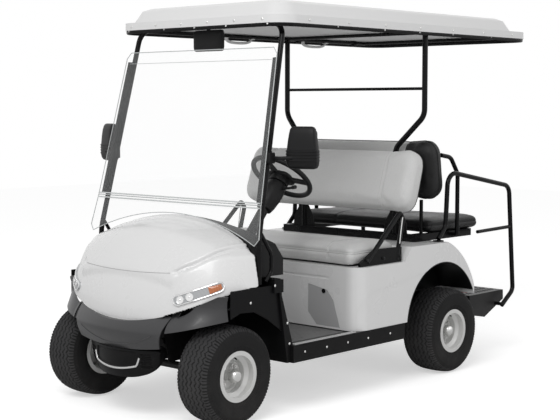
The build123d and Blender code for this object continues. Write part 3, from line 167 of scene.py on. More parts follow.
def leather_group():
    """Pebbled grain of coated upholstery: cells, creases between them and a slow sheen change."""
    group, given, out = new_group(
        "Pebbled vinyl", (("Cell Scale", 420.0), ("Drift Scale", 6.0)), ("Height", "Creases", "Drift"))
    place = group.nodes.new("ShaderNodeTexCoord").outputs["Object"]
    cells = group.nodes.new("ShaderNodeTexVoronoi")
    cells.feature = "DISTANCE_TO_EDGE"
    group.links.new(place, cells.inputs["Vector"])
    group.links.new(given.outputs["Cell Scale"], cells.inputs["Scale"])
    edge = math_node(group, "MULTIPLY", cells.outputs["Distance"], 5.0, True)
    soft = noise(group, place, given.outputs["Cell Scale"], 3.0)
    height = math_node(group, "ADD", edge, math_node(group, "MULTIPLY", soft, 0.4))
    creases = math_node(group, "SUBTRACT", 1.0, edge, True)
    drift = noise(group, place, given.outputs["Drift Scale"], 3.0)
    group.links.new(height, out.inputs["Height"])
    group.links.new(creases, out.inputs["Creases"])
    group.links.new(drift, out.inputs["Drift"])
    return group


def road_dust_group():
    """Dust low on the cart: strongest near the ground and broken up by noise."""
    group, given, out = new_group("Road dust", (("Top", 0.45), ("Scale", 9.0)), ("Mask",))
    place = group.nodes.new("ShaderNodeTexCoord").outputs["Object"]
    split = group.nodes.new("ShaderNodeSeparateXYZ")
    group.links.new(place, split.inputs[0])
    low = math_node(group, "SUBTRACT", given.outputs["Top"], split.outputs["Z"])
    low = math_node(group, "DIVIDE", low, given.outputs["Top"], True)
    patches = math_node(group, "MULTIPLY", noise(group, place, given.outputs["Scale"], 6.0, 0.65), 1.5)
    mask = math_node(group, "MULTIPLY", low, math_node(group, "SUBTRACT", patches, 0.35, True), True)
    group.links.new(mask, out.inputs["Mask"])
    return group


GROUPS = {}


def group_node(tree, kind, values):
    """The named group, built once and placed with its own values."""
    if kind not in GROUPS:
        GROUPS[kind] = {"moulded": moulded_group, "leather": leather_group, "dust": road_dust_group}[kind]()
    node = tree.nodes.new("ShaderNodeGroup")
    node.node_tree = GROUPS[kind]
    for name, value in values.items():
        node.inputs[name].default_value = value
    return node


def mix_colour(tree, fac, first, second):
    """A mix of two colours, each a tuple or a socket."""
    node = tree.nodes.new("ShaderNodeMix")
    node.data_type = "RGBA"
    tree.links.new(fac, node.inputs["Factor"])
    for socket, value in ((node.inputs["A"], first), (node.inputs["B"], second)):
        if isinstance(value, tuple):
            socket.default_value = (*value, 1.0)
        else:
            tree.links.new(value, socket)
    return node.outputs["Result"]


def ramp(tree, value, low, high):
    """Spreads a 0 to 1 value between low and high."""
    node = tree.nodes.new("ShaderNodeMapRange")
    tree.links.new(value, node.inputs["Value"])
    node.inputs["To Min"].default_value = low
    node.inputs["To Max"].default_value = high
    return node.outputs["Result"]


def bump(tree, height, strength, distance):
    node = tree.nodes.new("ShaderNodeBump")
    node.inputs["Strength"].default_value = strength
    node.inputs["Distance"].default_value = distance
    tree.links.new(height, node.inputs["Height"])
    return node.outputs["Normal"]


def shade(rgb, factor):
    """A colour made lighter or darker."""
    return tuple(min(1.0, max(0.0, c * factor)) for c in rgb)


def new_material(name):
    material = bpy.data.materials.new(name)
    material.use_nodes = True
    tree = material.node_tree
    return material, tree, tree.nodes["Principled BSDF"]


def plastic(name, rgb, rough, grain=900.0, depth=0.00012, strength=0.25, coat=0.0, metal=0.0,
            vary=0.05, dust=0.0, dust_rgb=(0.30, 0.28, 0.25), shine=0.5):
    """A moulded or painted finish with grain, slow colour drift, scuffs and dust."""
    material, tree, shader = new_material(name)
    surface = group_node(tree, "moulded", {"Grain Scale": grain, "Drift Scale": 3.0})
    tint = mix_colour(tree, surface.outputs["Drift"], shade(rgb, 1 - vary), shade(rgb, 1 + vary))
    if dust:
        mask = group_node(tree, "dust", {"Top": 0.5, "Scale": 8.0}).outputs["Mask"]
        tint = mix_colour(tree, math_node(tree, "MULTIPLY", mask, dust), tint, dust_rgb)
    tree.links.new(tint, shader.inputs["Base Color"])
    roughness = math_node(tree, "ADD", ramp(tree, surface.outputs["Drift"], rough - 0.04, rough + 0.04),
                          math_node(tree, "MULTIPLY", surface.outputs["Scuffs"], 0.10))
    tree.links.new(roughness, shader.inputs["Roughness"])
    tree.links.new(bump(tree, surface.outputs["Grain"], strength, depth), shader.inputs["Normal"])
    shader.inputs["Metallic"].default_value = metal
    shader.inputs["Specular IOR Level"].default_value = shine
    shader.inputs["Coat Weight"].default_value = coat
    shader.inputs["Coat Roughness"].default_value = 0.06
    return material


def vinyl(name, rgb, rough=0.42):
    """Coated upholstery cloth: pebbled grain, with painted shade darkening the creases between the pebbles.
    """
    material, tree, shader = new_material(name)
    grain = group_node(tree, "leather", {"Cell Scale": 380.0, "Drift Scale": 5.0})
    base = mix_colour(tree, grain.outputs["Drift"], shade(rgb, 0.93), shade(rgb, 1.07))
    # painted shade: the creases between the pebbles are darkened to 0.62 of the colour
    tint = mix_colour(tree, ramp(tree, grain.outputs["Creases"], 0.0, 0.5), base, shade(rgb, 0.62))
    tree.links.new(tint, shader.inputs["Base Color"])
    tree.links.new(ramp(tree, grain.outputs["Drift"], rough - 0.06, rough + 0.08), shader.inputs["Roughness"])
    tree.links.new(bump(tree, grain.outputs["Height"], 0.5, 0.0006), shader.inputs["Normal"])
    shader.inputs["Specular IOR Level"].default_value = 0.3 if rgb[0] < 0.1 else 0.5
    shader.inputs["Sheen Weight"].default_value = 0.0 if rgb[0] < 0.1 else 0.08
    return material


def rubber(name, rgb, rough=0.72, dust=0.35):
    """Matt rubber with dust in its low places."""
    return plastic(name, rgb, rough, grain=700.0, depth=0.0003, strength=0.45, vary=0.12, dust=dust,
                   dust_rgb=(0.10, 0.095, 0.09), shine=0.12)


def clear_pane(name):
    """Clear sheet with a faint film of dust that makes it a little less clear in places."""
    material, tree, shader = new_material(name)
    surface = group_node(tree, "moulded", {"Grain Scale": 40.0, "Drift Scale": 2.5})
    tree.links.new(ramp(tree, surface.outputs["Drift"], 0.03, 0.075), shader.inputs["Alpha"])
    tree.links.new(ramp(tree, surface.outputs["Scuffs"], 0.03, 0.12), shader.inputs["Roughness"])
    shader.inputs["Base Color"].default_value = (0.93, 0.95, 0.95, 1.0)
    shader.inputs["Coat Weight"].default_value = 0.5
    return material


def lens(name, rgb, glow=0.0):
    """Fluted lens plastic: fine vertical flutes under a glossy skin, banded by painted light and shade."""
    material, tree, shader = new_material(name)
    place = tree.nodes.new("ShaderNodeTexCoord").outputs["Object"]
    wave = tree.nodes.new("ShaderNodeTexWave")
    wave.inputs["Scale"].default_value = 70.0
    tree.links.new(place, wave.inputs["Vector"])
    # painted light and shade: the colour runs from 0.82 to 1.15 of itself across each flute
    tint = mix_colour(tree, wave.outputs["Fac"], shade(rgb, 0.82), shade(rgb, 1.15))
    tree.links.new(tint, shader.inputs["Base Color"])
    tree.links.new(bump(tree, wave.outputs["Fac"], 0.25, 0.0008), shader.inputs["Normal"])
    shader.inputs["Roughness"].default_value = 0.12
    shader.inputs["Coat Weight"].default_value = 0.6
    if glow:
        tree.links.new(tint, shader.inputs["Emission Color"])
        shader.inputs["Emission Strength"].default_value = glow
    return material


MATERIALS = {}


def finish(name):
    """The named finish, made once from the colours."""
    if name in MATERIALS:
        return MATERIALS[name]
    c = bpy.context.scene.cart_colours
    made = {
        "body": lambda: plastic("body_gloss_white", tuple(c.body), 0.28, coat=0.28, vary=0.012,
                                strength=0.04),
        "roof": lambda: plastic("roof_satin_white", tuple(c.roof), 0.36, coat=0.2, vary=0.015, strength=0.08),
        "liner": lambda: plastic("roof_liner", shade(tuple(c.roof), 0.9), 0.6, vary=0.03),
        "panel": lambda: plastic("access_panel_grey", tuple(c.panel), 0.45, vary=0.04),
        # painted shadow: the grey of the thin line along the hood's front seam
        "seam": lambda: plastic("hood_seam_shade", (0.42, 0.42, 0.42), 0.5, strength=0.1),
        "bumper": lambda: plastic("bumper_satin", tuple(c.bumper), 0.33, grain=600.0, depth=0.0002,
                                  strength=0.3, vary=0.08, dust=0.10, shine=0.5, coat=0.12),
        "trim": lambda: plastic("black_trim", tuple(c.trim), 0.34, grain=620.0, depth=0.0002, strength=0.35,
                                vary=0.1, dust=0.05, shine=0.10),
        "tube": lambda: plastic("powder_coat", tuple(c.tube), 0.27, grain=320.0, depth=0.0001, strength=0.2,
                                coat=0.10, vary=0.1, shine=0.10),
        "frame": lambda: plastic("chassis_paint", (0.014, 0.014, 0.015), 0.5, grain=260.0, strength=0.3,
                                 vary=0.15, dust=0.2, shine=0.2),
        "motor": lambda: plastic("motor_enamel", (0.03, 0.03, 0.033), 0.4, metal=0.3, dust=0.3),
        "battery": lambda: plastic("battery_case", (0.035, 0.035, 0.04), 0.5),
        "mat": lambda: rubber("mat_rubber", tuple(c.mat), 0.62, 0.2),
        "dash": lambda: plastic("dash_plastic", (0.012, 0.012, 0.0125), 0.42, grain=520.0, depth=0.0003,
                                strength=0.5, vary=0.08, shine=0.15),
        "step": lambda: plastic("step_paint", (0.02, 0.02, 0.021), 0.38, grain=300.0, strength=0.25,
                                vary=0.15, dust=0.12, shine=0.15),
        "steel": lambda: plastic("wheel_paint", tuple(c.steel), 0.30, grain=400.0, metal=0.15, coat=0.25,
                                 vary=0.04, strength=0.1, dust=0.15),
        "bright": lambda: plastic("bright_steel", (0.72, 0.72, 0.71), 0.24, metal=1.0, grain=500.0,
                                  strength=0.15, vary=0.06),
        "brushed": lambda: plastic("brushed_aluminium", (0.62, 0.62, 0.62), 0.34, metal=0.9, grain=900.0,
                                   strength=0.3, vary=0.08),
        "chrome": lambda: plastic("lamp_chrome", (0.80, 0.80, 0.80), 0.10, metal=1.0, strength=0.03,
                                  vary=0.03),
        "tyre": lambda: rubber("tyre_rubber", tuple(c.rubber)),
        "tread": lambda: rubber("tyre_tread_face", shade(tuple(c.rubber), 3.2), 0.78, 0.5),
        "vinyl": lambda: vinyl("light_vinyl", tuple(c.vinyl)),
        "vinyl_dark": lambda: vinyl("dark_vinyl", tuple(c.vinyl_dark), 0.38),
        "welt": lambda: vinyl("welt_vinyl", shade(tuple(c.vinyl_dark), 0.7), 0.5),
        "thread": lambda: vinyl("stitch_thread", (0.30, 0.30, 0.30), 0.7),
        "pane": lambda: clear_pane("clear_pane"),
        # painted highlight: the light grey of the pane edges and the joint strips
        "pane_highlight": lambda: plastic("painted_pane_highlight", (0.55, 0.57, 0.57), 0.15, coat=0.5, vary=0.05),
        "lens": lambda: lens("lamp_lens", (0.40, 0.41, 0.42)),
        "amber": lambda: lens("amber_lens", tuple(c.amber), 0.12),
        "red": lambda: lens("red_lens", (0.45, 0.02, 0.015)),
        "mirror": lambda: plastic("mirror_glass", (0.75, 0.77, 0.78), 0.04, metal=1.0, strength=0.0),
    }[name]()
    MATERIALS[name] = made
    return made


# ---------------------------------------------------------------- mesh making
class Shape:
    """Vertices and faces gathered for one piece, each face with the index of its material."""

    def __init__(self):
        self.verts = []
        self.faces = []
        self.kinds = []

    def rings(self, rings, kind=0, close_rings=True, cap=True, loop=False):
        """Joins rings of points, all of one count, into a skin."""
        base = len(self.verts)
        count = len(rings[0])
        for ring in rings:
            self.verts.extend(Vector(p) for p in ring)
        spans = len(rings) if loop else len(rings) - 1
        steps = count if close_rings else count - 1
        for j in range(spans):
            k = (j + 1) % len(rings)
            for i in range(steps):
                n = (i + 1) % count
                a, b = base + j * count + i, base + j * count + n
                self.faces.append((a, b, base + k * count + n, base + k * count + i))
                self.kinds.append(kind)
        if cap and not loop and close_rings:
            self.faces.append(tuple(base + i for i in reversed(range(count))))
            last = base + (len(rings) - 1) * count
            self.faces.append(tuple(last + i for i in range(count)))
            self.kinds.extend((kind, kind))

    def lathe(self, profile, origin, axis, count, kind=0, cap=True):
        """Turns (along, radius) points round an axis."""
        z = Vector(axis).normalized()
        x = z.orthogonal().normalized()
        y = z.cross(x)
        origin = Vector(origin)
        turns = [2 * math.pi * i / count for i in range(count)]
        rings = [[origin + z * along + (x * math.cos(a) + y * math.sin(a)) * radius for a in turns]
                 for along, radius in profile]
        self.rings(rings, kind, True, cap)

    def tube(self, path, radius, count=10, kind=0, closed=False, flat=1.0, up=None):
        """Sweeps a round or flattened section along a path."""
        path = [Vector(p) for p in path]
        rings = []
        side = None
        total = len(path)
        for i, p in enumerate(path):
            before = path[i - 1] if i or closed else p
            after = path[(i + 1) % total] if i < total - 1 or closed else p
            ahead = (after - before).normalized()
            if up is not None:
                side = ahead.cross(Vector(up)).normalized()
            elif side is None:
                side = ahead.orthogonal().normalized()
            else:
                side = (side - ahead * side.dot(ahead)).normalized()
            other = ahead.cross(side)
            rings.append([p + side * math.cos(a) * radius + other * math.sin(a) * radius * flat
                          for a in (2 * math.pi * k / count for k in range(count))])
        self.rings(rings, kind, True, True, closed)

    def slab(self, outline, origin, u, v, depth, bevel=0.0, kind=0):
        """A plate from a 2D outline with softened edges; depth runs along u x v."""
        u, v = Vector(u).normalized(), Vector(v).normalized()
        n = u.cross(v)
        origin = Vector(origin)
        middle = Vector((sum(p[0] for p in outline), sum(p[1] for p in outline))) / len(outline)

        def ring(inset, height):
            made = []
            for p in outline:
                q = Vector(p) - middle
                shrink = max(0.0, 1 - inset / max(q.length, 1e-6))
                q = middle + q * shrink
                made.append(origin + u * q.x + v * q.y + n * height)
            return made

        if bevel:
            rings = [ring(bevel, 0), ring(0.3 * bevel, 0.3 * bevel), ring(0, bevel), ring(0, depth - bevel),
                     ring(0.3 * bevel, depth - 0.3 * bevel), ring(bevel, depth)]
        else:
            rings = [ring(0, 0), ring(0, depth)]
        self.rings(rings, kind)


def rounded(width, height, radius, steps=6):
    """Outline of a rounded rectangle about the origin."""
    points = []
    for cx, cy, start in ((1, 1, 0), (-1, 1, 90), (-1, -1, 180), (1, -1, 270)):
        for i in range(steps + 1):
            a = math.radians(start + 90 * i / steps)
            x = cx * (width / 2 - radius) + radius * math.cos(a)
            y = cy * (height / 2 - radius) + radius * math.sin(a)
            points.append((x, y))
    return points


def settle(piece, body, angle):
    """Smooths a new piece below the given edge angle and fixes its body."""
    mesh = piece.data
    mesh.shade_smooth()
    mesh.set_sharp_from_angle(angle=math.radians(angle))
    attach(piece, body)
    return piece


def make(name, shape, finishes, body, angle=40.0):
    """A piece from a gathered shape."""
    mesh = bpy.data.meshes.new(name)
    mesh.from_pydata([tuple(v) for v in shape.verts], [], shape.faces)
    cleaner = bmesh.new()
    cleaner.from_mesh(mesh)
    bmesh.ops.recalc_face_normals(cleaner, faces=cleaner.faces)
    cleaner.to_mesh(mesh)
    cleaner.free()
    for f in finishes:
        mesh.materials.append(finish(f))
    mesh.polygons.foreach_set("material_index", shape.kinds)
    mesh.update()
    piece = bpy.data.objects.new(name, mesh)
    bpy.context.scene.collection.objects.link(piece)
    return settle(piece, body, angle)


def wear(mesh, name):
    """Gives a mesh one finish all over."""
    mesh.materials.clear()
    mesh.materials.append(finish(name))


def tree_of(node):
    """Ray caster over a CAD node's surface."""
    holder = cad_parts[node]
    verts = [holder.matrix_world @ v.co for v in holder.data.vertices]
    return BVHTree.FromPolygons(verts, [tuple(p.vertices) for p in holder.data.polygons])


def tree_of_mesh(mesh):
    """Ray caster over a new piece's mesh."""
    return BVHTree.FromPolygons([v.co for v in mesh.vertices], [tuple(p.vertices) for p in mesh.polygons])


def middle_of(node):
    """Centre of a node's box."""
    low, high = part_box(node)
    return (Vector(low) + Vector(high)) / 2


def cast(tree, start, direction):
    """(point, normal towards the start) where a ray meets the surface, or None."""
    direction = Vector(direction).normalized()
    point, normal, _, _ = tree.ray_cast(Vector(start), direction)
    if point is None:
        return None
    if normal.dot(direction) > 0:
        normal = -normal
    return point, normal


def screw(shape, point, normal, radius, kind=0):
    """A domed trim screw with a recessed centre."""
    profile = [(0.0, radius), (radius * 0.28, radius * 0.96), (radius * 0.48, radius * 0.72),
               (radius * 0.52, radius * 0.42), (radius * 0.30, radius * 0.34), (radius * 0.28, radius * 0.05)]
    shape.lathe(profile, point, normal, 14, kind)


def screw_where(shape, tree, start, way, radius):
    """A screw where a ray meets the surface."""
    hit = cast(tree, start, way)
    if hit:
        screw(shape, hit[0], hit[1], radius)


def ease(value):
    """0 to 1 with soft ends."""
    value = min(1.0, max(0.0, value))
    return value * value * (3 - 2 * value)


def window(value, start, end, soft):
    """1 between start and end, falling to 0 over a soft margin outside them."""
    return ease((value - start + soft) / soft) * ease((end + soft - value) / soft)


# ---------------------------------------------------------------- wheels
TYRE_PROFILE = (
    # across, radius: from bead to bead over the tread
    (-0.0800, 0.1085), (-0.0870, 0.1180), (-0.0935, 0.1330), (-0.0985, 0.1560), (-0.0995, 0.1780),
    (-0.0965, 0.1980), (-0.0900, 0.2130), (-0.0790, 0.2220), (-0.0600, 0.2262), (-0.0300, 0.2280),
    (0.0, 0.2285),
)
TYRE_SECTION_POINTS = 84
TYRE_STEPS = 432
LINING_POINTS = 22
LINING_SHARE = 6                          # one lining section for so many sections of the tread
GROOVE_CENTRES = (-0.066, -0.040, -0.0135, 0.0135, 0.040, 0.066)
ZIGZAG_REACH = 0.0058
TREAD_HALF = 0.083
SHOULDER = (0.074, 0.0975)
SHOULDER_PITCH = 0.0155
SIDE_RIBS = ((0.142, 0.146), (0.186, 0.189))
TREAD_FACE_R = 0.206
TREAD_FACE_HALF = 0.094
STUD_R = 0.0508


def spread(points, count):
    """Points evenly spaced along a smooth line through the given ones."""
    fine = []
    for i in range(len(points) - 1):
        p0 = points[max(i - 1, 0)]
        p1, p2 = points[i], points[i + 1]
        p3 = points[min(i + 2, len(points) - 1)]
        for k in range(12):
            t = k / 12
            fine.append(tuple(
                0.5 * (2 * b + (c - a) * t + (2 * a - 5 * b + 4 * c - d) * t * t
                       + (3 * b - a - 3 * c + d) * t ** 3)
                for a, b, c, d in zip(p0, p1, p2, p3)))
    fine.append(tuple(points[-1]))
    lengths = [0.0]
    for a, b in zip(fine, fine[1:]):
        lengths.append(lengths[-1] + math.dist(a, b))
    out = []
    j = 0
    for i in range(count):
        want = lengths[-1] * i / (count - 1)
        while j < len(lengths) - 2 and lengths[j + 1] < want:
            j += 1
        t = (want - lengths[j]) / max(lengths[j + 1] - lengths[j], 1e-9)
        out.append(tuple(a + (b - a) * t for a, b in zip(fine[j], fine[j + 1])))
    return out


def groove_depth(across, turn, pitches, half_width):
    """0 to 1: how deep the tread is cut at a place on the tyre."""
    phase = (turn / (2 * math.pi) * pitches) % 1.0
    zigzag = (abs(phase - 0.5) * 4 - 1) * ZIGZAG_REACH
    deepest = 0.0
    if abs(across) < TREAD_HALF:
        for centre in GROOVE_CENTRES:
            deepest = max(deepest, 1 - abs(across - centre - zigzag) / half_width)
    if SHOULDER[0] < abs(across) < SHOULDER[1]:
        step = (phase * 2 + (0.25 if across > 0 else 0.0)) % 1.0
        away = abs(step - 0.5) * SHOULDER_PITCH
        deepest = max(deepest, 0.8 * (1 - away / half_width))
    return min(1.0, max(0.0, deepest * 1.8))


def section(points, middle, turn):
    """(across, radius) points set round the wheel's axle at a turn."""
    return [(middle.x + x, middle.y + r * math.cos(turn), middle.z + r * math.sin(turn)) for x, r in points]


def tyre(wheel):
    """A tyre with zigzag grooves, shoulder cuts, ribs on its sides and an inner lining."""
    s = bpy.context.scene.cart_sizes
    middle = middle_of(f"tyre_{wheel}")
    half = [*TYRE_PROFILE, *[(-x, r) for x, r in reversed(TYRE_PROFILE[:-1])]]
    profile = spread(half, TYRE_SECTION_POINTS)
    rings = []
    for i in range(TYRE_STEPS):
        turn = 2 * math.pi * i / TYRE_STEPS
        cut = []
        for across, radius in profile:
            depth = groove_depth(across, turn, s.tread_pitches, s.groove_width) * s.tread_depth
            ribbed = any(start < radius < end for start, end in SIDE_RIBS)
            cut.append((across * (1.012 if ribbed else 1.0), radius - depth))
        rings.append(section(cut, middle, turn))
    shape = Shape()
    shape.rings(rings, 0, False, False, True)
    lining = [(x * 0.93, r - 0.004) for x, r in reversed(spread(half, LINING_POINTS))]
    turns = [2 * math.pi * i * LINING_SHARE / TYRE_STEPS for i in range(TYRE_STEPS // LINING_SHARE)]
    shape.rings([section(lining, middle, turn) for turn in turns], 0, False, False, True)
    piece = make(f"dressed_tyre_{wheel}", shape, ["tyre", "tread"], f"wheel_{wheel}", 32.0)
    for face in piece.data.polygons:
        c = face.center - middle
        if math.hypot(c.y, c.z) < TREAD_FACE_R or abs(c.x) > TREAD_FACE_HALF:
            continue
        turn = math.atan2(c.z, c.y) % (2 * math.pi)
        if groove_depth(c.x, turn, s.tread_pitches, s.groove_width) < 0.35:
            face.material_index = 1
    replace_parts(piece, f"tyre_{wheel}")


def wheel_fittings(wheel):
    """Wheel nuts, hub cap and valve."""
    side = 1 if wheel.endswith("left") else -1
    tree = tree_of(f"rim_{wheel}")
    middle = middle_of(f"rim_{wheel}")
    outward = Vector((side, 0, 0))
    shape = Shape()
    nut = [(0, 0.0125), (0.002, 0.0125), (0.003, 0.0098), (0.014, 0.0098), (0.016, 0.0085), (0.016, 0.0045),
           (0.021, 0.0040)]
    for i in range(4):
        turn = math.radians(45 + 90 * i)
        stud = middle + Vector((side * 0.3, STUD_R * math.cos(turn), STUD_R * math.sin(turn)))
        hit = cast(tree, stud, -outward)
        if hit:
            shape.lathe(nut, hit[0], outward, 6)
    hit = cast(tree, middle + Vector((side * 0.3, 0.0, 0.004)), -outward)
    start = hit[0] if hit and abs(hit[0].x - middle.x) < 0.2 else middle
    cap = [(-0.004, 0.030), (0.006, 0.030), (0.016, 0.027), (0.024, 0.020), (0.0275, 0.010), (0.028, 0.0015)]
    if wheel.startswith("front"):
        cap = [(-0.004, 0.031), (0.018, 0.030), (0.026, 0.028), (0.034, 0.021), (0.036, 0.008),
               (0.036, 0.001)]
    shape.lathe(cap, (start.x, middle.y, middle.z), outward, 36)
    valve = middle + Vector((side * 0.052, 0.0, 0.088))
    hit = cast(tree, valve + outward * 0.3, -outward)
    if hit:
        stem = [(0, 0.0055), (0.012, 0.0048), (0.014, 0.0036), (0.026, 0.0034), (0.027, 0.0028)]
        shape.lathe(stem, hit[0], (side, 0, -0.35), 12, 1)
    make(f"wheel_fittings_{wheel}", shape, ["bright", "trim"], f"wheel_{wheel}")


# ---------------------------------------------------------------- seats
SWELL_FRAMES = 20
SWELL_PRESSURE = 4.0
PAD_VOXEL = 0.0128
PAD_SHRINK = 0.004
SEAM_HALF_WIDTH = 0.009
STITCH_STEP = 0.009


def swell(piece, cap):
    """Lets a pad swell as stuffed cloth does, no further than cap."""
    scene = bpy.context.scene
    rest = [v.co.copy() for v in piece.data.vertices]
    cloth = piece.modifiers.new("Swell", "CLOTH")
    cloth.settings.quality = 5
    cloth.settings.mass = 0.25
    cloth.settings.use_pressure = True
    cloth.settings.uniform_pressure_force = SWELL_PRESSURE
    cloth.settings.effector_weights.gravity = 0.0
    cloth.point_cache.frame_start = 1
    cloth.point_cache.frame_end = SWELL_FRAMES
    for step in range(1, SWELL_FRAMES + 1):
        scene.frame_set(step)
    made = piece.evaluated_get(bpy.context.evaluated_depsgraph_get()).data
    moved = [v.co.copy() for v in made.vertices]
    piece.modifiers.remove(cloth)
    scene.frame_set(1)
    for v, a, b in zip(piece.data.vertices, rest, moved):
        push = b - a
        if push.length > cap:
            push *= cap / push.length
        v.co = a + push


def apply_modifier(piece, kind, **values):
    """Adds a modifier and keeps its result as the piece's mesh."""
    modifier = piece.modifiers.new(kind, kind)
    for key, value in values.items():
        setattr(modifier, key, value)
    deps = bpy.context.evaluated_depsgraph_get()
    made = bpy.data.meshes.new_from_object(piece.evaluated_get(deps))
    piece.modifiers.clear()
    old = piece.data
    piece.data = made
    bpy.data.meshes.remove(old)


def soft_copy(node, name, voxel, shrink=0.0):
    """An evenly meshed, smoothed copy of a node's solid, made smaller by shrink."""
    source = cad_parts[node]
    mesh = source.data.copy()
    mesh.transform(source.matrix_world)
    piece = bpy.data.objects.new(name, mesh)
    bpy.context.scene.collection.objects.link(piece)
    apply_modifier(piece, "REMESH", mode="VOXEL", voxel_size=voxel)
    bm = bmesh.new()
    bm.from_mesh(piece.data)
    for _ in range(4):
        bmesh.ops.smooth_vert(bm, verts=bm.verts, factor=0.5, use_axis_x=True, use_axis_y=True,
                              use_axis_z=True)
    bm.normal_update()
    for v in bm.verts:
        v.co -= v.normal * shrink
    bm.to_mesh(piece.data)
    bm.free()
    return piece


def fit_to(piece, node, axes):
    """Stretches a pad along some axes until it spans its solid again."""
    low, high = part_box(node)
    coords = [v.co for v in piece.data.vertices]
    for axis in axes:
        least = min(c[axis] for c in coords)
        most = max(c[axis] for c in coords)
        grow = (high[axis] - low[axis]) / (most - least)
        for c in coords:
            c[axis] = low[axis] + (c[axis] - least) * grow


def stuffed(node, name, floor_z=None):
    """The pad swollen, smoothed once and set flat where it rests."""
    s = bpy.context.scene.cart_sizes
    piece = soft_copy(node, name, PAD_VOXEL, PAD_SHRINK)
    swell(piece, s.pad_swell)
    apply_modifier(piece, "SUBSURF", levels=1)
    fit_to(piece, node, (0, 2) if floor_z is None else (0, 1))
    if floor_z is not None:
        for v in piece.data.vertices:
            v.co.z = max(v.co.z, floor_z)
    return piece


def pull_seams(piece, seams):
    """Pulls the surface in along seams: functions of a point that give its distance from the seam."""
    depth = bpy.context.scene.cart_sizes.seam_depth
    mesh = piece.data
    normals = [v.normal.copy() for v in mesh.vertices]
    for v, n in zip(mesh.vertices, normals):
        pull = 0.0
        for away in seams:
            d = away(v.co)
            pull = max(pull, math.exp(-(d / SEAM_HALF_WIDTH) ** 2))
        v.co -= n * depth * pull
    mesh.update()


def line_on(tree, centre, u, v, reach, start, end, count):
    """Points on a surface, met by rays that come in towards a centre between two angles."""
    u, v, centre = Vector(u), Vector(v), Vector(centre)
    points = []
    for i in range(count):
        a = math.radians(start + (end - start) * i / (count - 1))
        way = (u * math.cos(a) + v * math.sin(a)).normalized()
        hit = cast(tree, centre + way * reach, -way)
        if hit:
            points.append(hit[0])
    return points


def dress_pad(piece, is_dark):
    """Gives each face the light or the dark cloth."""
    mesh = piece.data
    wear(mesh, "vinyl")
    mesh.materials.append(finish("vinyl_dark"))
    kinds = [1 if is_dark(p.center) else 0 for p in mesh.polygons]
    mesh.polygons.foreach_set("material_index", kinds)
    settle(piece, "chassis", 180.0)


def welts(name, lines, closed=False, cloth="welt"):
    """Round cords sewn along lines on a pad."""
    radius = bpy.context.scene.cart_sizes.welt_radius
    shape = Shape()
    for line in lines:
        shape.tube(line, radius, 8, 0, closed)
    return make(name, shape, [cloth], "chassis", 60.0)


def stitches(name, lines):
    """Rows of short threads laid along lines on a surface."""
    shape = Shape()
    for line in lines:
        travelled = 0.0
        wanted = 0.0
        for a, b in zip(line, line[1:]):
            run = (b - a).length
            while wanted < travelled + run:
                t = (wanted - travelled) / max(run, 1e-9)
                at = a.lerp(b, t)
                way = (b - a).normalized() * STITCH_STEP * 0.3
                shape.tube([at - way, at, at + way], 0.0007, 5)
                wanted += STITCH_STEP
            travelled += run
    return make(name, shape, ["thread"], "chassis", 60.0)


SEAT_END_X = 0.385
SEAT_WELT_DROP = 0.040
BACK_END_X = 0.415
BACK_SLOPE = 0.27
BACK_DARK_FROM = 0.030
STITCH_OFFSET = 0.012
REAR_SEAM_X = 0.18
REAR_WELT_DROP = 0.028
REAR_BACK_END_X = 0.36
REAR_BACK_SLOPE = -0.12


def edge_round(tree, centre, v):
    """A closed line round a pad, in the plane of X and v."""
    return line_on(tree, centre, (1, 0, 0), v, 1.4, 0, 360, 361)[:-1]


def lines_over(tree, places, u, v, reach, start, end):
    """Lines over a pad at each place, from the way u round to v and on."""
    return [line_on(tree, place, u, v, reach, start, end, 90) for place in places]


def front_cushion():
    """Light cushion with sewn ends, welts and stitches."""
    low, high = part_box("front_seat_cushion")
    piece = stuffed("front_seat_cushion", "front_cushion_pad", low[2])
    mid_y = (low[1] + high[1]) / 2
    top = high[2]
    pull_seams(piece, [lambda p: abs(abs(p.x) - SEAT_END_X) if p.z > top - 0.07 else 1.0,
                       lambda p: abs(p.z - (top - SEAT_WELT_DROP))])
    dress_pad(piece, lambda c: c.z < low[2] + 0.010)
    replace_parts(piece, "front_seat_cushion")
    tree = tree_of_mesh(piece.data)
    welts("front_cushion_edge_welt", [edge_round(tree, (0, mid_y, top - SEAT_WELT_DROP), (0, 1, 0))],
          True, "vinyl")
    back, up = (0, -1, 0), (0, 0, 1)
    ends = [(side * SEAT_END_X, mid_y, top - 0.060) for side in SIDES]
    welts("front_cushion_cross_welts", lines_over(tree, ends, back, up, 0.6, 6, 174), False,
          "vinyl")
    rows = [(side * (SEAT_END_X - STITCH_OFFSET), mid_y, top - 0.060) for side in SIDES]
    stitches("front_cushion_stitches", lines_over(tree, rows, back, up, 0.6, 10, 170))


def front_back():
    """Light backrest with sewn ends and a dark rear face."""
    piece = stuffed("front_backrest", "front_back_pad")
    mid = middle_of("front_backrest")
    lean = Vector((0, BACK_SLOPE, 1)).normalized()
    out = Vector((0, -1, BACK_SLOPE)).normalized()
    pull_seams(piece, [lambda p: abs(abs(p.x) - BACK_END_X) if p.y < mid.y + (p.z - mid.z) * BACK_SLOPE
                       else 1.0])
    dress_pad(piece, lambda c: (mid - c).dot(out) > BACK_DARK_FROM)
    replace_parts(piece, "front_backrest")
    tree = tree_of_mesh(piece.data)
    welts("front_back_edge_welt", [edge_round(tree, mid - out * BACK_DARK_FROM, lean)], True)
    ends = [(side * BACK_END_X, mid.y, mid.z) for side in SIDES]
    welts("front_back_cross_welts", lines_over(tree, ends, -lean, out, 0.7, 8, 172), False,
          "vinyl")
    rows = [(side * (BACK_END_X - STITCH_OFFSET), mid.y, mid.z) for side in SIDES]
    stitches("front_back_stitches", lines_over(tree, rows, -lean, out, 0.7, 14, 166))


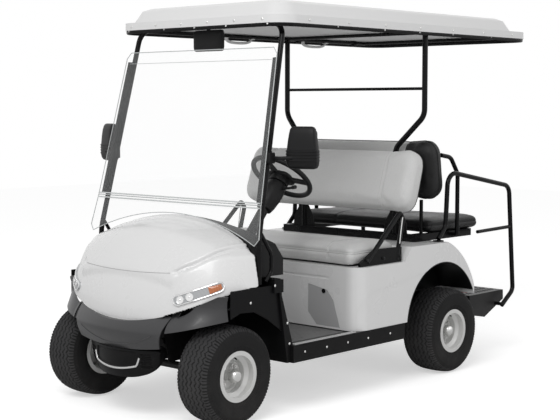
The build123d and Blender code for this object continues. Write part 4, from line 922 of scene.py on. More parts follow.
def rear_cushion():
    """Dark cushion with two sewn seams across it."""
    low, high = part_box("rear_seat_cushion")
    piece = stuffed("rear_seat_cushion", "rear_cushion_pad", low[2])
    mid_y = (low[1] + high[1]) / 2
    top = high[2]
    pull_seams(piece, [lambda p: abs(p.z - (top - REAR_WELT_DROP)),
                       lambda p: abs(abs(p.x) - REAR_SEAM_X) if p.z > top - 0.05 else 1.0])
    dress_pad(piece, lambda c: True)
    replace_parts(piece, "rear_seat_cushion")
    tree = tree_of_mesh(piece.data)
    welts("rear_cushion_edge_welt", [edge_round(tree, (0, mid_y, top - REAR_WELT_DROP), (0, 1, 0))],
          True)
    rows = [(side * REAR_SEAM_X + off, mid_y, top - 0.05) for side in SIDES for off in (-0.006, 0.006)]
    stitches("rear_cushion_stitches", lines_over(tree, rows, (0, -1, 0), (0, 0, 1), 0.7, 10, 170))


def rear_back():
    """Backrest with a light centre panel between dark ends."""
    piece = stuffed("rear_backrest", "rear_back_pad")
    mid = middle_of("rear_backrest")
    pull_seams(piece, [lambda p: abs(abs(p.x) - REAR_BACK_END_X)])
    dress_pad(piece, lambda c: abs(c.x) > REAR_BACK_END_X)
    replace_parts(piece, "rear_backrest")
    tree = tree_of_mesh(piece.data)
    lean = Vector((0, REAR_BACK_SLOPE, 1)).normalized()
    welts("rear_back_edge_welt", [edge_round(tree, mid, lean)], True)
    ends = [(side * REAR_BACK_END_X, mid.y, mid.z) for side in SIDES]
    stitches("rear_back_stitches", lines_over(tree, ends, -lean, (0, 1, 0), 0.7, 10, 168))


# ---------------------------------------------------------------- trim
def rim_line(node, axis_out):
    """Outline points of a flat pane's face towards axis_out, in order."""
    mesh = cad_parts[node].data
    out = Vector(axis_out).normalized()
    edges = {}
    for face in mesh.polygons:
        if face.normal.dot(out) < 0.98:
            continue
        corners = [tuple(round(c, 5) for c in mesh.vertices[i].co) for i in face.vertices]
        for pair in zip(corners, corners[1:] + corners[:1]):
            key = (min(pair), max(pair))
            edges[key] = edges.get(key, 0) + 1
    free = [edge for edge, faces in edges.items() if faces == 1]
    follow = {}
    for a, b in free:
        follow.setdefault(a, []).append(b)
        follow.setdefault(b, []).append(a)
    line, last = [free[0][0]], None
    while len(line) <= len(free):
        options = [q for q in follow[line[-1]] if q != last]
        if not options or options[0] == line[0]:
            break
        last = line[-1]
        line.append(options[0])
    return [Vector(p) for p in line]


PANE_LEAN = 0.18
PANE_LINE_Z = 1.668
PANE_LINE_HALF = 0.545


def pane_trim():
    """Polished pane edges, joint strips and a line under the upper edge; edges and strips carry a painted
    highlight.
    """
    s = bpy.context.scene.cart_sizes
    shape = Shape()
    for node in ("windscreen_upper", "windscreen_lower"):
        shape.tube(rim_line(node, (0, -1, PANE_LEAN)), s.edge_trim, 8, 0, True)
    make("pane_edge_highlights", shape, ["pane_highlight"], "chassis")
    low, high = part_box("windscreen_upper")
    half = high[0] - 0.004
    joint = Shape()
    # two light grey strips at the joint between the panes: painted highlight lines
    for above in (0.010, -0.012):
        y, z = low[1] - 0.004 + above * PANE_LEAN, low[2] + above
        joint.tube([(half * (i / 20 * 2 - 1), y, z) for i in range(21)], 0.0042, 8, 0, False, 0.55)
    tree = tree_of("windscreen_upper")
    hits = [cast(tree, (-PANE_LINE_HALF + 2 * PANE_LINE_HALF * i / 24, -1.6, PANE_LINE_Z), (0, 1, 0))
            for i in range(25)]
    joint.tube([h[0] + h[1] * 0.0006 for h in hits if h], 0.0012, 6)
    make("pane_joint_highlight_strips", joint, ["pane_highlight"], "chassis")


def roof_screws():
    """Screws round the roof's skirt."""
    s = bpy.context.scene.cart_sizes
    tree = tree_of("roof_panel")
    shape = Shape()
    low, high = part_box("roof_panel")
    z = low[2] + 0.018
    for i in range(6):
        screw_where(shape, tree, (-0.46 + 0.92 * i / 5, low[1] - 0.3, z), (0, 1, 0), s.screw_radius)
    for side in SIDES:
        for i in range(7):
            y = low[1] + 0.20 + (high[1] - low[1] - 0.40) * i / 6
            screw_where(shape, tree, (side * 1.2, y, z), (-side, 0, 0), s.screw_radius)
    make("roof_screws", shape, ["bright"], "chassis")


ASSIST_HANDLES = ((0.590, 0.808), (-0.055, 0.160))     # first and last Y of each
HANDLE_X = -0.530
HANDLE_Z = 1.842
CLAMP_Y = (0.555, 1.075)
CLAMP_Z = 1.862
RAIL_SCREW_EVERY = 12


def roof_rail():
    """Black rail under the roof's skirt and its screws."""
    tree = tree_of("roof_panel")
    low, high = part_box("roof_panel")
    centre = Vector((0, (low[1] + high[1]) / 2, low[2] + 0.006))
    loop = []
    for i in range(240):
        a = 2 * math.pi * i / 240
        way = Vector((math.cos(a), math.sin(a) * 1.6, 0)).normalized()
        hit = cast(tree, centre + way * 2.0, -way)
        if hit:
            loop.append(Vector((hit[0].x, hit[0].y, low[2] - 0.006)) - way * 0.008)
    shape = Shape()
    shape.tube(loop, 0.0045, 8, 0, True, 2.6, up=(0, 0, 1))
    for p in loop[::RAIL_SCREW_EVERY]:
        way = Vector((p.x, p.y - centre.y, 0)).normalized()
        screw(shape, p + way * 0.004 + Vector((0, 0, 0.001)), way, 0.0045, 1)
    make("roof_rail", shape, ["tube", "bright"], "chassis")


def assist_handles():
    """White handles under the roof's right side and the black clamps beside them."""
    along, across = (0, 1, 0), (1, 0, 0)
    handles = Shape()
    for y0, y1 in ASSIST_HANDLES:
        drops = ((y0, 0.0), (y0 + 0.012, 0.022), (y0 + 0.045, 0.033), ((y0 + y1) / 2, 0.036),
                 (y1 - 0.045, 0.033), (y1 - 0.012, 0.022), (y1, 0.0))
        path = [(HANDLE_X, y, HANDLE_Z - drop) for y, drop in drops]
        handles.tube(spread(path, 30), 0.0085, 10, 0, False, 0.8)
        for y in (y0, y1):
            handles.slab(rounded(0.034, 0.024, 0.006), (HANDLE_X, y, HANDLE_Z - 0.012), along, across,
                         -0.014, 0.002)
    make("assist_handles", handles, ["liner"], "chassis")
    clamps = Shape()
    for y in CLAMP_Y:
        clamps.slab(rounded(0.030, 0.034, 0.004), (HANDLE_X, y, CLAMP_Z), along, across, 0.040, 0.002)
    make("rail_clamps", clamps, ["tube"], "chassis")


SHIELD_SCREWS = ((-0.790, 0.560), (-0.765, 0.440), (-0.750, 0.340), (-0.850, 0.625), (-1.0, 0.560))
SILL_SCREWS_Y = (-0.66, -0.50, -0.34, -0.18, 0.0)
SILL_SCREWS_Z = 0.292


def trim_screws():
    """Bright screws on the fenders, leg shield and sills."""
    s = bpy.context.scene.cart_sizes
    shape = Shape()
    shield = tree_of("leg_shield")
    sills = tree_of("rocker_panels")
    for side in SIDES:
        for y, z in SHIELD_SCREWS:
            screw_where(shape, shield, (side * 1.2, y, z), (-side, 0, 0), s.screw_radius)
        for y in SILL_SCREWS_Y:
            screw_where(shape, sills, (side * 1.2, y, SILL_SCREWS_Z), (-side, 0, 0), s.screw_radius * 0.9)
    make("trim_screws", shape, ["bright"], "chassis")


MAT_INSET = 0.03
MAT_HALF = 0.505
SILL_STRIPS_X = (0.566, 0.585)
TOE_HALF = 0.300
TOE_FOOT = (-0.7694, 0.322)
TOE_TOP = (-0.7899, 0.480)
TOE_THICK = 0.004


def mat_ribs():
    """Ribs of the rubber floor mat, from the toe board to the seat box."""
    pitch = bpy.context.scene.cart_sizes.rib_pitch
    low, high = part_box("floor_pan")
    top = high[2]
    y0, y1 = low[1] + 0.05, high[1] - 0.05
    shape = Shape()
    for i in range(int((high[0] - low[0] - 2 * MAT_INSET) / pitch) + 1):
        x = low[0] + MAT_INSET + i * pitch
        if abs(x) > MAT_HALF:
            continue
        line = [(x, y0, top + 0.0012), (x, y0 + 0.01, top + 0.0030), (x, y1 - 0.01, top + 0.0030),
                (x, y1, top + 0.0012)]
        shape.tube(line, 0.0050, 6, 0, False, 0.6, up=(0, 0, 1))
    make("mat_ribs", shape, ["mat"], "chassis")


def sill_strips():
    """Two aluminium strips along each sill."""
    low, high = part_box("floor_pan")
    tree = tree_of("rocker_panels")
    shape = Shape()
    for side in SIDES:
        for x in SILL_STRIPS_X:
            ways = [low[1] + 0.02 + (high[1] - low[1] - 0.06) * i / 23 for i in range(24)]
            hits = [cast(tree, (side * x, y, 0.6), (0, 0, -1)) for y in ways]
            line = [hit[0] + Vector((0, 0, 0.001)) for hit in hits if hit and hit[1].z > 0.8]
            shape.tube(line, 0.0055, 8, 0, False, 0.45, up=(0, 0, 1))
    make("sill_strips", shape, ["brushed"], "chassis")


def toe_cover():
    """Flat cover over the opening in the toe board."""
    section_points = [TOE_FOOT, TOE_TOP, (TOE_TOP[0] - TOE_THICK, TOE_TOP[1]),
                      (TOE_FOOT[0] - TOE_THICK, TOE_FOOT[1])]
    shape = Shape()
    shape.rings([[(x, y, z) for y, z in section_points] for x in (-TOE_HALF, TOE_HALF)])
    make("toe_cover", shape, ["trim"], "chassis")


# ---------------------------------------------------------------- nose
GRILLE_HALF = 0.247
GRILLE_TOP = 0.331
GRILLE_FACE_Y = -1.3395
GRILLE_THICK = 0.015
GRILLE_COLUMNS = 212
GRILLE_ROWS = 66
MOUTH_HALF = 0.134
MOUTH_TOP = 0.318
MOUTH_DEPTH = 0.0065
SLOT_ENDS = (0.160, 0.206)
SLOT_LOW_Z = 0.246
SLOT_PITCH = 0.0175
SLOT_COUNT = 4
SLOT_DEPTH = 0.0085
LINER_PLAN = ((0.0, -1.274), (0.090, -1.268), (0.180, -1.250), (0.222, -1.236), (0.236, -1.205),
              (0.238, -1.150), (0.238, -1.062))
LINER_Z = (0.290, 0.470)


def grille_lip(x):
    """Lower edge of the scoop, a bowl that rises to its ends."""
    share = min(1.0, abs(x / GRILLE_HALF))
    return GRILLE_TOP - 0.004 - 0.131 * (1 - share ** 3.2) ** 0.4545


def strip_z(x):
    """Height of the silver strip under the scoop's mouth."""
    return 0.237 + 0.020 * (x / 0.140) ** 2


def grille_face(x):
    """Front of the scoop at x: it bulges a little ahead of the bumper's lower edge."""
    return GRILLE_FACE_Y + 1.26 * x * x


def grille_sunk(x, z):
    """How far the scoop's face is sunk by its mouth and by the slots at both ends."""
    mouth = window(abs(x), -1.0, MOUTH_HALF, 0.006) * window(z, strip_z(x) + 0.010, MOUTH_TOP, 0.005)
    slots = 0.0
    run = (z - SLOT_LOW_Z) / SLOT_PITCH
    if SLOT_ENDS[0] - 0.010 < abs(x) < SLOT_ENDS[1] + 0.010 and 0.0 <= run < SLOT_COUNT:
        slots = window(abs(x), *SLOT_ENDS, 0.003) * window(run % 1.0, 0.24, 0.76, 0.14)
    return MOUTH_DEPTH * mouth + SLOT_DEPTH * slots


def grille():
    """The scoop under the bumper: bowl, sunk mouth and slots."""
    rings = []
    for i in range(GRILLE_COLUMNS + 1):
        x = -GRILLE_HALF + 2 * GRILLE_HALF * i / GRILLE_COLUMNS
        face, lip = grille_face(x), grille_lip(x)
        front, back = [], []
        for j in range(GRILLE_ROWS + 1):
            t = j / GRILLE_ROWS
            z = GRILLE_TOP + (lip - GRILLE_TOP) * t
            curl = 0.016 * t ** 3 + 0.004 * (1 - t) ** 6
            front.append((x, face + curl + grille_sunk(x, z), z))
            back.append((x, face + curl + GRILLE_THICK, z))
        rings.append(front + list(reversed(back)))
    shape = Shape()
    shape.rings(rings)
    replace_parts(make("dressed_grille", shape, ["trim"], "chassis", 50.0), "front_grille")


def scoop_strip():
    """The silver strip along the mouth's lower edge and up both its ends."""
    end = [(0.143, 0.264), (0.149, 0.278), (0.155, 0.296)]
    middle = [(-0.136 + 0.272 * i / 30, strip_z(-0.136 + 0.272 * i / 30)) for i in range(31)]
    line = [(-x, z) for x, z in reversed(end)] + middle + end
    shape = Shape()
    shape.tube([(x, grille_face(x) + 0.016 * ((GRILLE_TOP - z) / 0.135) ** 3 - 0.0008, z) for x, z in line],
               0.0028, 8, 0, False, 1.7, up=(0, 0, 1))
    make("scoop_strip", shape, ["brushed"], "chassis")


def nose_liner():
    """Dark liner that closes the nose behind the scoop."""
    plan = [(-x, y) for x, y in reversed(LINER_PLAN[1:])] + list(LINER_PLAN)
    low, high = LINER_Z
    shape = Shape()
    shape.rings([[(x, y, low), (x * 0.985, y + 0.003, low), (x * 0.985, y + 0.003, high), (x, y, high)]
                 for x, y in plan])
    make("nose_liner", shape, ["trim"], "chassis")


COWL_VOXEL = 0.0047
HOOD_HALF = 0.322
HOOD_FRONT_Y = -1.2505
HOOD_BOW = 0.023
HOOD_SOFT_REACH = 0.040
HOOD_SEAM_HALF = 0.296
HOOD_VALLEY = ((0.302, -1.243), (0.3324, -1.2245), (0.3578, -1.2015), (0.3827, -1.1775), (0.4065, -1.147),
               (0.4273, -1.107), (0.4468, -1.063), (0.4665, -1.0185), (0.4851, -0.9757), (0.497, -0.946))
VALLEY_REACH = 0.045
COWL_REAR_Y = -0.95
COWL_MIDDLE = Vector((0, -0.92, 0.45))
LIP_MIDDLE_Z = 0.462
LIP_R = 1.0723


def lip_height(x):
    """Height of the cowl's lower edge, an arc that rises to the sides."""
    return LIP_MIDDLE_Z + LIP_R - math.sqrt(LIP_R ** 2 - x * x)


def nearest_of(points):
    """A finder of the nearest of some points."""
    finder = KDTree(len(points))
    for i, point in enumerate(points):
        finder.insert(point, i)
    finder.balance()
    return finder


def soften_hood_edge(piece, source):
    """Rounds the moulded edge that runs along the hood's front and down both its sides."""
    edge = []
    for i in range(61):
        x = -HOOD_HALF + 2 * HOOD_HALF * i / 60
        edge.append((x, HOOD_FRONT_Y - HOOD_BOW * (1 - (x / HOOD_HALF) ** 2) + 0.002))
    for side in SIDES:
        for i in range(41):
            edge.append((side * (0.321 + 0.193 * i / 40), -1.2495 + 0.295 * i / 40))
    hits = [cast(source, (x, y, 1.3), (0, 0, -1)) for x, y in edge]
    near = nearest_of([hit[0] for hit in hits if hit])
    group = piece.vertex_groups.new(name="soft")
    for v in piece.data.vertices:
        weight = ease(1.6 - near.find(v.co)[2] / HOOD_SOFT_REACH)
        if v.co.y < COWL_REAR_Y:
            weight = max(weight, 0.20 * ease((v.co.z - lip_height(v.co.x)) / 0.05 - 0.3))
        if weight > 0:
            group.add([v.index], weight, "REPLACE")
    apply_modifier(piece, "SMOOTH", factor=0.5, iterations=48, vertex_group="soft")


def valley_line(tree):
    """Points down both valleys: (point, way ahead, share of the way)."""
    table = []
    for side in SIDES:
        met = [cast(tree, (side * x, y, 1.3), (0, 0, -1)) for x, y in spread(list(HOOD_VALLEY), 90)]
        line = [hit[0] for hit in met if hit]
        for i, p in enumerate(line):
            ahead = (line[min(i + 1, len(line) - 1)] - line[max(i - 1, 0)]).normalized()
            table.append((p, ahead, i / (len(line) - 1)))
    return table


def press_valleys(mesh):
    """Presses a valley along each side of the hood, with a low ridge on its inner side."""
    deepest = bpy.context.scene.cart_sizes.hood_valley
    table = valley_line(tree_of_mesh(mesh))
    spots = nearest_of([p for p, _, _ in table])
    moves = []
    for v in mesh.vertices:
        found = spots.find(v.co)
        if found[2] > VALLEY_REACH:
            continue
        p, ahead, share = table[found[1]]
        out = v.normal if v.normal.dot(v.co - COWL_MIDDLE) > 0 else -v.normal
        gap = v.co - p
        gap -= ahead * gap.dot(ahead)
        far = gap.length
        depth = deepest * ease(0.25 + share / 0.12)
        if (ahead.x * gap.y - ahead.y * gap.x) * p.x > 0:
            ridge = 0.32 * math.exp(-((far - 0.015) / 0.010) ** 2)
            move = depth * (ridge - math.exp(-(far / 0.0065) ** 2))
        else:
            move = -depth * math.exp(-(far / 0.016) ** 2)
        moves.append((v.index, out * move))
    for index, move in moves:
        mesh.vertices[index].co += move


def hood_seam(tree):
    """The thin shadow line along the hood's front edge."""
    xs = [-HOOD_SEAM_HALF + 2 * HOOD_SEAM_HALF * i / 80 for i in range(81)]
    hits = [cast(tree, (x, -1.6, 0.688 + 0.006 * (x / 0.25) ** 2), (0, 1, 0)) for x in xs]
    shape = Shape()
    shape.tube([hit[0] - hit[1] * 0.0003 for hit in hits if hit], 0.0016, 6)
    make("hood_seam", shape, ["seam"], "chassis")


def cowl_lip(source):
    """A rounded bead along the cowl's lower edge."""
    line = []
    for i in range(181):
        a = math.radians(-4.0 + 188.0 * i / 180)
        way = Vector((math.cos(a), -math.sin(a), 0))
        z, hit = 0.50, None
        for _ in range(6):
            start = Vector((0, -0.93, z + 0.0015)) + way * 1.2
            hit = cast(source, start, -way)
            if not hit:
                break
            z = lip_height(max(-0.6, min(0.6, hit[0].x)))
        if hit and hit[0].y < -0.905:
            line.append(Vector((hit[0].x, hit[0].y, z + 0.001)) - Vector((hit[1].x, hit[1].y, 0)) * 0.0022)
    shape = Shape()
    shape.tube(line, 0.0030, 8)
    make("cowl_lip", shape, ["body"], "chassis")


def cowl():
    """The cowl with soft moulded edges, a valley down each side of the hood and a painted shadow line along
    its front seam.
    """
    piece = soft_copy("front_cowl", "dressed_cowl", COWL_VOXEL)
    source = tree_of("front_cowl")
    for v in piece.data.vertices:
        v.co = source.find_nearest(v.co)[0]
    soften_hood_edge(piece, source)
    press_valleys(piece.data)
    settle(piece, "chassis", 80.0)
    wear(piece.data, "body")
    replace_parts(piece, "front_cowl")
    hood_seam(tree_of_mesh(piece.data))
    cowl_lip(source)


LAMP_AT = Vector((0.436, -1.2015, 0.609))
LAMP_OUT = Vector((0.6293, -0.7771, 0.0))
LAMP_WAY = Vector((0.7391, 0.5985, 0.3090))
LAMP_UP = LAMP_OUT.cross(LAMP_WAY).normalized()
LAMP_STRAIGHT = 0.1004
LAMP_END_R = 0.0206
REFLECTORS = (-0.086, -0.040)
AMBER_START = 0.052
AMBER_LONG = 0.060


def lamp_outline():
    """(along, across) points round the lamp: two straight sides and two half-round ends."""
    def end(way):
        return [(way * (LAMP_STRAIGHT + LAMP_END_R * math.sin(math.pi * i / 12)),
                 way * LAMP_END_R * math.cos(math.pi * i / 12)) for i in range(1, 12)]

    def straight(way):
        return [(way * (2 * LAMP_STRAIGHT * i / 24 - LAMP_STRAIGHT), way * LAMP_END_R) for i in range(25)]

    return straight(1) + end(1) + straight(-1) + end(-1)


def lamp_detail(side, label):
    """Chrome border, round reflectors and amber end of one head lamp."""
    tree = tree_of("head_lamps")

    def flip(v):
        return Vector((v.x * side, v.y, v.z))

    def on_lens(along, across):
        start = LAMP_AT + LAMP_WAY * along + LAMP_UP * across + LAMP_OUT * 0.25
        return cast(tree, flip(start), flip(-LAMP_OUT))

    border = [on_lens(along, across) for along, across in lamp_outline()]
    shape = Shape()
    shape.tube([hit[0] + hit[1] * 0.0006 for hit in border if hit], 0.0026, 8, 0, True)
    for along in REFLECTORS:
        at, out = on_lens(along, 0.0)
        shape.lathe([(-0.001, 0.0185), (0.0024, 0.0185), (0.0034, 0.0172), (0.0026, 0.0158)],
                    at, out, 36, 0, False)
        shape.lathe([(0.0018, 0.0158), (0.0008, 0.0120), (0.0003, 0.0072), (0.0018, 0.0050),
                     (0.0036, 0.0032), (0.0042, 0.0005)], at, out, 36)
        shape.lathe([(0.0011, 0.0154), (0.0015, 0.0138), (0.0009, 0.0126)], at, out, 36, 1, False)
    make(f"lamp_bezel_{label}", shape, ["chrome", "trim"], "chassis")
    rings = []
    for i in range(10):
        t = i / 9
        ring = []
        for k in range(7):
            share = k / 3 - 1
            across = (0.0160 - 0.004 * t) * share
            along = AMBER_START + AMBER_LONG * t
            edge = (flip(LAMP_AT + LAMP_WAY * along + LAMP_UP * across), flip(LAMP_OUT))
            at, out = on_lens(along, across) or edge
            puff = 0.0026 * (1 - share ** 4) * (1 - (2 * t - 1) ** 6)
            ring.append(at + out * (0.0004 + puff))
        rings.append(ring)
    amber = Shape()
    amber.rings(rings, 0, False, False)
    make(f"lamp_amber_{label}", amber, ["amber"], "chassis")


def bumper_bead():
    """A bead along the bumper's lower lip."""
    tree = tree_of("front_bumper")
    xs = [-0.25 + 0.5 * i / 60 for i in range(61)]
    hits = [cast(tree, (x, -1.7, 0.352 + 0.058 * (x / 0.25) ** 2), (0, 1, 0)) for x in xs]
    shape = Shape()
    shape.tube([hit[0] + hit[1] * 0.0005 for hit in hits if hit], 0.0022, 8)
    make("bumper_lip_bead", shape, ["bumper"], "chassis")


# ---------------------------------------------------------------- rear step
STEP_DECK_Z = 0.380
STEP_DECK_Y = 0.885
DIAMOND_LONG = 0.0105
DIAMOND_WIDE = 0.0036
DIAMOND_HIGH = 0.0018


def diamond(shape, at, turn):
    """One raised diamond with a ridge along it."""
    u = Vector((math.cos(turn), math.sin(turn), 0)) * DIAMOND_LONG
    v = Vector((-math.sin(turn), math.cos(turn), 0)) * DIAMOND_WIDE
    top = Vector((0, 0, DIAMOND_HIGH))
    base = len(shape.verts)
    shape.verts.extend([at + u, at + v, at - u, at - v, at + u * 0.55 + top, at - u * 0.55 + top])
    faces = ((0, 1, 4), (1, 2, 5), (1, 5, 4), (2, 3, 5), (3, 0, 4), (3, 4, 5), (0, 3, 2, 1))
    shape.faces.extend(tuple(base + i for i in face) for face in faces)
    shape.kinds.extend([0] * len(faces))


def step_diamonds():
    """Raised diamonds on the rear step."""
    pitch = bpy.context.scene.cart_sizes.diamond_pitch
    low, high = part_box("rear_step")
    shape = Shape()
    x0, x1 = low[0] + 0.03, high[0] - 0.03
    row, y = 0, STEP_DECK_Y
    while y < high[1] - 0.025:
        column, x = 0, x0 + (row % 2) * pitch / 2
        while x < x1:
            turn = math.radians(45 if (row + column) % 2 else -45)
            diamond(shape, Vector((x, y, STEP_DECK_Z - 0.0002)), turn)
            x += pitch
            column += 1
        y += pitch / 2
        row += 1
    make("step_diamonds", shape, ["step"], "chassis", 20.0)


# ---------------------------------------------------------------- mirrors and controls
MIRROR_AT = Vector((0.680, -0.7665, 1.2625))
MIRROR_YAW = 18.0
MIRROR_ARM_Z = 1.215
POST_FOOT = Vector((0.560, -0.9345, 0.830))
POST_WAY = Vector((-0.060, 0.233, 1.012))
CENTRE_MIRROR_AT = Vector((0, -0.6995, 1.7735))
CENTRE_LEVELS = ((-0.0520, 0.176, 0.014), (-0.0480, 0.194, 0.024), (-0.0300, 0.200, 0.028),
                 (0.0300, 0.200, 0.028), (0.0480, 0.194, 0.024), (0.0520, 0.176, 0.014))
GUSSET = ((0.245, 0.724), (0.415, 0.724), (0.405, 0.820), (0.352, 0.900), (0.308, 0.900), (0.262, 0.820))
GUSSET_Y = 0.3875
UP = Vector((0, 0, 1))


def mirror_ring(at, u, n, height, width, depth, power, bend):
    """One level of a mirror shell: a rounded section, fuller in front."""
    ring = []
    for i in range(40):
        a = 2 * math.pi * i / 40
        c, d = math.cos(a), math.sin(a)
        x = math.copysign(abs(c) ** power, c) * width / 2
        y = math.copysign(abs(d) ** power, d) * depth / 2
        if y < 0:
            y *= bend
        ring.append(at + u * x + n * y + Vector((0, 0, height)))
    return ring


SHELL_LEVELS = (
    # height, width, depth, fullness of the front
    (-0.0975, 0.110, 0.020, 1.0), (-0.0930, 0.138, 0.038, 1.1), (-0.0800, 0.150, 0.048, 1.2),
    (-0.0620, 0.154, 0.050, 1.3), (-0.0600, 0.158, 0.050, 1.4), (-0.0550, 0.158, 0.050, 1.4),
    (-0.0530, 0.154, 0.050, 1.3), (-0.0480, 0.154, 0.050, 1.3), (-0.0460, 0.158, 0.050, 1.4),
    (-0.0410, 0.158, 0.050, 1.4), (-0.0390, 0.154, 0.050, 1.3), (-0.0340, 0.154, 0.050, 1.3),
    (-0.0320, 0.158, 0.050, 1.4), (-0.0270, 0.158, 0.050, 1.4), (-0.0250, 0.154, 0.050, 1.3),
    (-0.0200, 0.154, 0.050, 1.3), (-0.0180, 0.157, 0.050, 1.4), (-0.0130, 0.157, 0.050, 1.4),
    (-0.0110, 0.150, 0.050, 1.25), (0.0300, 0.140, 0.048, 1.2), (0.0650, 0.130, 0.044, 1.1),
    (0.0850, 0.122, 0.036, 1.0), (0.0940, 0.108, 0.026, 0.9), (0.0975, 0.086, 0.014, 0.8),
)


def side_mirror(side, label):
    """Ribbed shell, framed glass, arm and clamp of one side mirror."""
    turn = Matrix.Rotation(math.radians(MIRROR_YAW * side), 3, "Z")
    u, n = turn @ Vector((1, 0, 0)), turn @ Vector((0, 1, 0))
    at = Vector((MIRROR_AT.x * side, MIRROR_AT.y, MIRROR_AT.z))
    shape = Shape()
    shape.rings([mirror_ring(at, u, n, h, w, d, 0.42, f) for h, w, d, f in SHELL_LEVELS])
    origin = at + n * 0.0235 + UP * 0.004
    shape.slab(rounded(0.150, 0.112, 0.016), origin, UP, u, 0.0035, 0.001, 1)
    border = [origin + n * 0.003 + u * y + UP * x for x, y in rounded(0.154, 0.116, 0.018)]
    shape.tube(border, 0.0026, 8, 0, True)
    post = POST_FOOT + POST_WAY * ((MIRROR_ARM_Z - POST_FOOT.z) / POST_WAY.z)
    post.x *= side
    knee = Vector((side * 0.616, post.y, MIRROR_ARM_Z))
    end = Vector((side * 0.676, MIRROR_AT.y - 0.006, MIRROR_ARM_Z + 0.004))
    shape.tube([post, post.lerp(knee, 0.6), knee, knee.lerp(end, 0.4), end], 0.0085, 12)
    shape.tube([post + UP * height for height in (-0.030, -0.028, 0.028, 0.030)], 0.0185, 20)
    shape.slab(rounded(0.050, 0.034, 0.006), post + Vector((side * 0.012, -0.014, 0)), UP, (0, 1, 0),
               0.028 * -side)
    return make(f"mirror_{label}", shape, ["dash", "mirror"], "chassis")


def centre_mirror():
    """Shell, glass and stem of the mirror under the roof."""
    u, n = Vector((1, 0, 0)), Vector((0, 1, 0))
    at = CENTRE_MIRROR_AT
    shape = Shape()
    shape.rings([mirror_ring(at, u, n, h, w, d, 0.35, 1.2) for h, w, d in CENTRE_LEVELS])
    shape.slab(rounded(0.084, 0.180, 0.012), at + n * 0.0135, UP, u, 0.002, 0.0006, 1)
    shape.tube([at - n * back + UP * height for back, height in ((0.002, 0.045), (0.004, 0.058),
                                                                 (0.002, 0.066))], 0.010, 14)
    return make("mirror_centre", shape, ["dash", "mirror"], "chassis")


def mirrors():
    """The three mirrors, which stand for the one node."""
    for piece in (side_mirror(1, "left"), side_mirror(-1, "right"), centre_mirror()):
        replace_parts(piece, "mirrors")


def post_gussets():
    """Plates that brace the canopy's rear posts down to the deck."""
    shape = Shape()
    for side in SIDES:
        points = [(z, x * side) for x, z in GUSSET][::side]
        shape.slab(points, (0, GUSSET_Y, 0), UP, (1, 0, 0), 0.004)
    make("post_gussets", shape, ["tube"], "chassis")


def restraint_highlight_strips():
    """Bright metal strips on the rear legs of the hip restraints: a painted highlight along each leg."""
    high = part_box("hip_restraints")[1]
    shape = Shape()
    for side in SIDES:
        x = side * (high[0] - 0.001)
        # painted highlight: a bright tube where the light catches the rear leg
        shape.tube([(x, 0.122, 0.880), (x, 0.110, 0.820), (x, 0.098, 0.745)], 0.0028, 8)
    make("restraint_highlight_strips", shape, ["bright"], "chassis")


DASH_PIECES = (
    # x, z, radius, finish: key barrel, selector knob, gauge
    (0.10, 0.815, 0.016, 1), (0.04, 0.815, 0.013, 0), (0.40, 0.800, 0.012, 0),
)
PEDAL_PADS = ((0.335, 0.395, 0.365, 0.455), (0.198, 0.272, 0.392, 0.462))      # x0, x1, z0, z1
COLUMN_LEAN = math.radians(50)
COLUMN_WAY = Vector((0, math.cos(COLUMN_LEAN), math.sin(COLUMN_LEAN)))
WHEEL_UP = Vector((0, -math.sin(COLUMN_LEAN), math.cos(COLUMN_LEAN)))


def dash_controls():
    """Key barrel, selector knob and gauge on the dash."""
    tree = tree_of("dashboard")
    shape = Shape()
    for x, z, radius, kind in DASH_PIECES:
        at, out = cast(tree, (x, -0.3, z), (0, -1, 0))
        shape.lathe([(-0.002, radius), (0.006, radius), (0.008, radius * 0.86), (0.016, radius * 0.80),
                     (0.018, radius * 0.6), (0.018, 0.001)], at, out, 24, kind)
    make("dash_controls", shape, ["dash", "bright"], "chassis")


def pedal_pads():
    """Rubber ribs across both pedals."""
    tree = tree_of("pedals")
    shape = Shape()
    for x0, x1, z0, z1 in PEDAL_PADS:
        for i in range(5):
            z = z0 + (z1 - z0) * i / 4
            hits = [cast(tree, (x0 + (x1 - x0) * k / 6, -0.3, z), (0, -1, 0)) for k in range(7)]
            line = [hit[0] + hit[1] * 0.001 for hit in hits if hit]
            if len(line) > 2:
                shape.tube(line, 0.0030, 6)
    make("pedal_pads", shape, ["mat"], "chassis")


def steering_hub():
    """Rounded pad and cap on the steering wheel's hub."""
    middle = middle_of("steering_wheel")
    at = cast(tree_of("steering_wheel"), middle + COLUMN_WAY * 0.2, -COLUMN_WAY)[0]
    shape = Shape()
    shape.slab(rounded(0.148, 0.104, 0.036), at - COLUMN_WAY * 0.010, (-1, 0, 0), WHEEL_UP, 0.019, 0.007)
    shape.lathe([(-0.002, 0.046), (0.004, 0.046), (0.009, 0.043), (0.013, 0.034), (0.015, 0.020),
                 (0.0155, 0.001)], at + COLUMN_WAY * 0.007, COLUMN_WAY, 40)
    make("steering_hub_cap", shape, ["dash"], "steering_wheel")


def column_shroud():
    """Moulded shroud round the top of the column, with its stalk."""
    middle = middle_of("steering_wheel")
    shape = Shape()
    shape.lathe([(-0.040, 0.030), (-0.043, 0.044), (-0.050, 0.050), (-0.085, 0.053), (-0.125, 0.052),
                 (-0.175, 0.045), (-0.200, 0.038), (-0.206, 0.028)], middle, COLUMN_WAY, 40)
    root = middle - COLUMN_WAY * 0.070
    stalk = [(0.045, 0, 0), (0.090, -0.004, 0.004), (0.128, -0.010, 0.010)]
    tip = [(0.124, -0.0095, 0.0095), (0.146, -0.014, 0.013)]
    shape.tube(spread([root + Vector(p) for p in stalk], 14), 0.0065, 12)
    shape.tube(spread([root + Vector(p) for p in tip], 6), 0.0095, 12)
    make("column_shroud", shape, ["dash"], "chassis")


RESTRAINT_BOLT_Z = 0.680


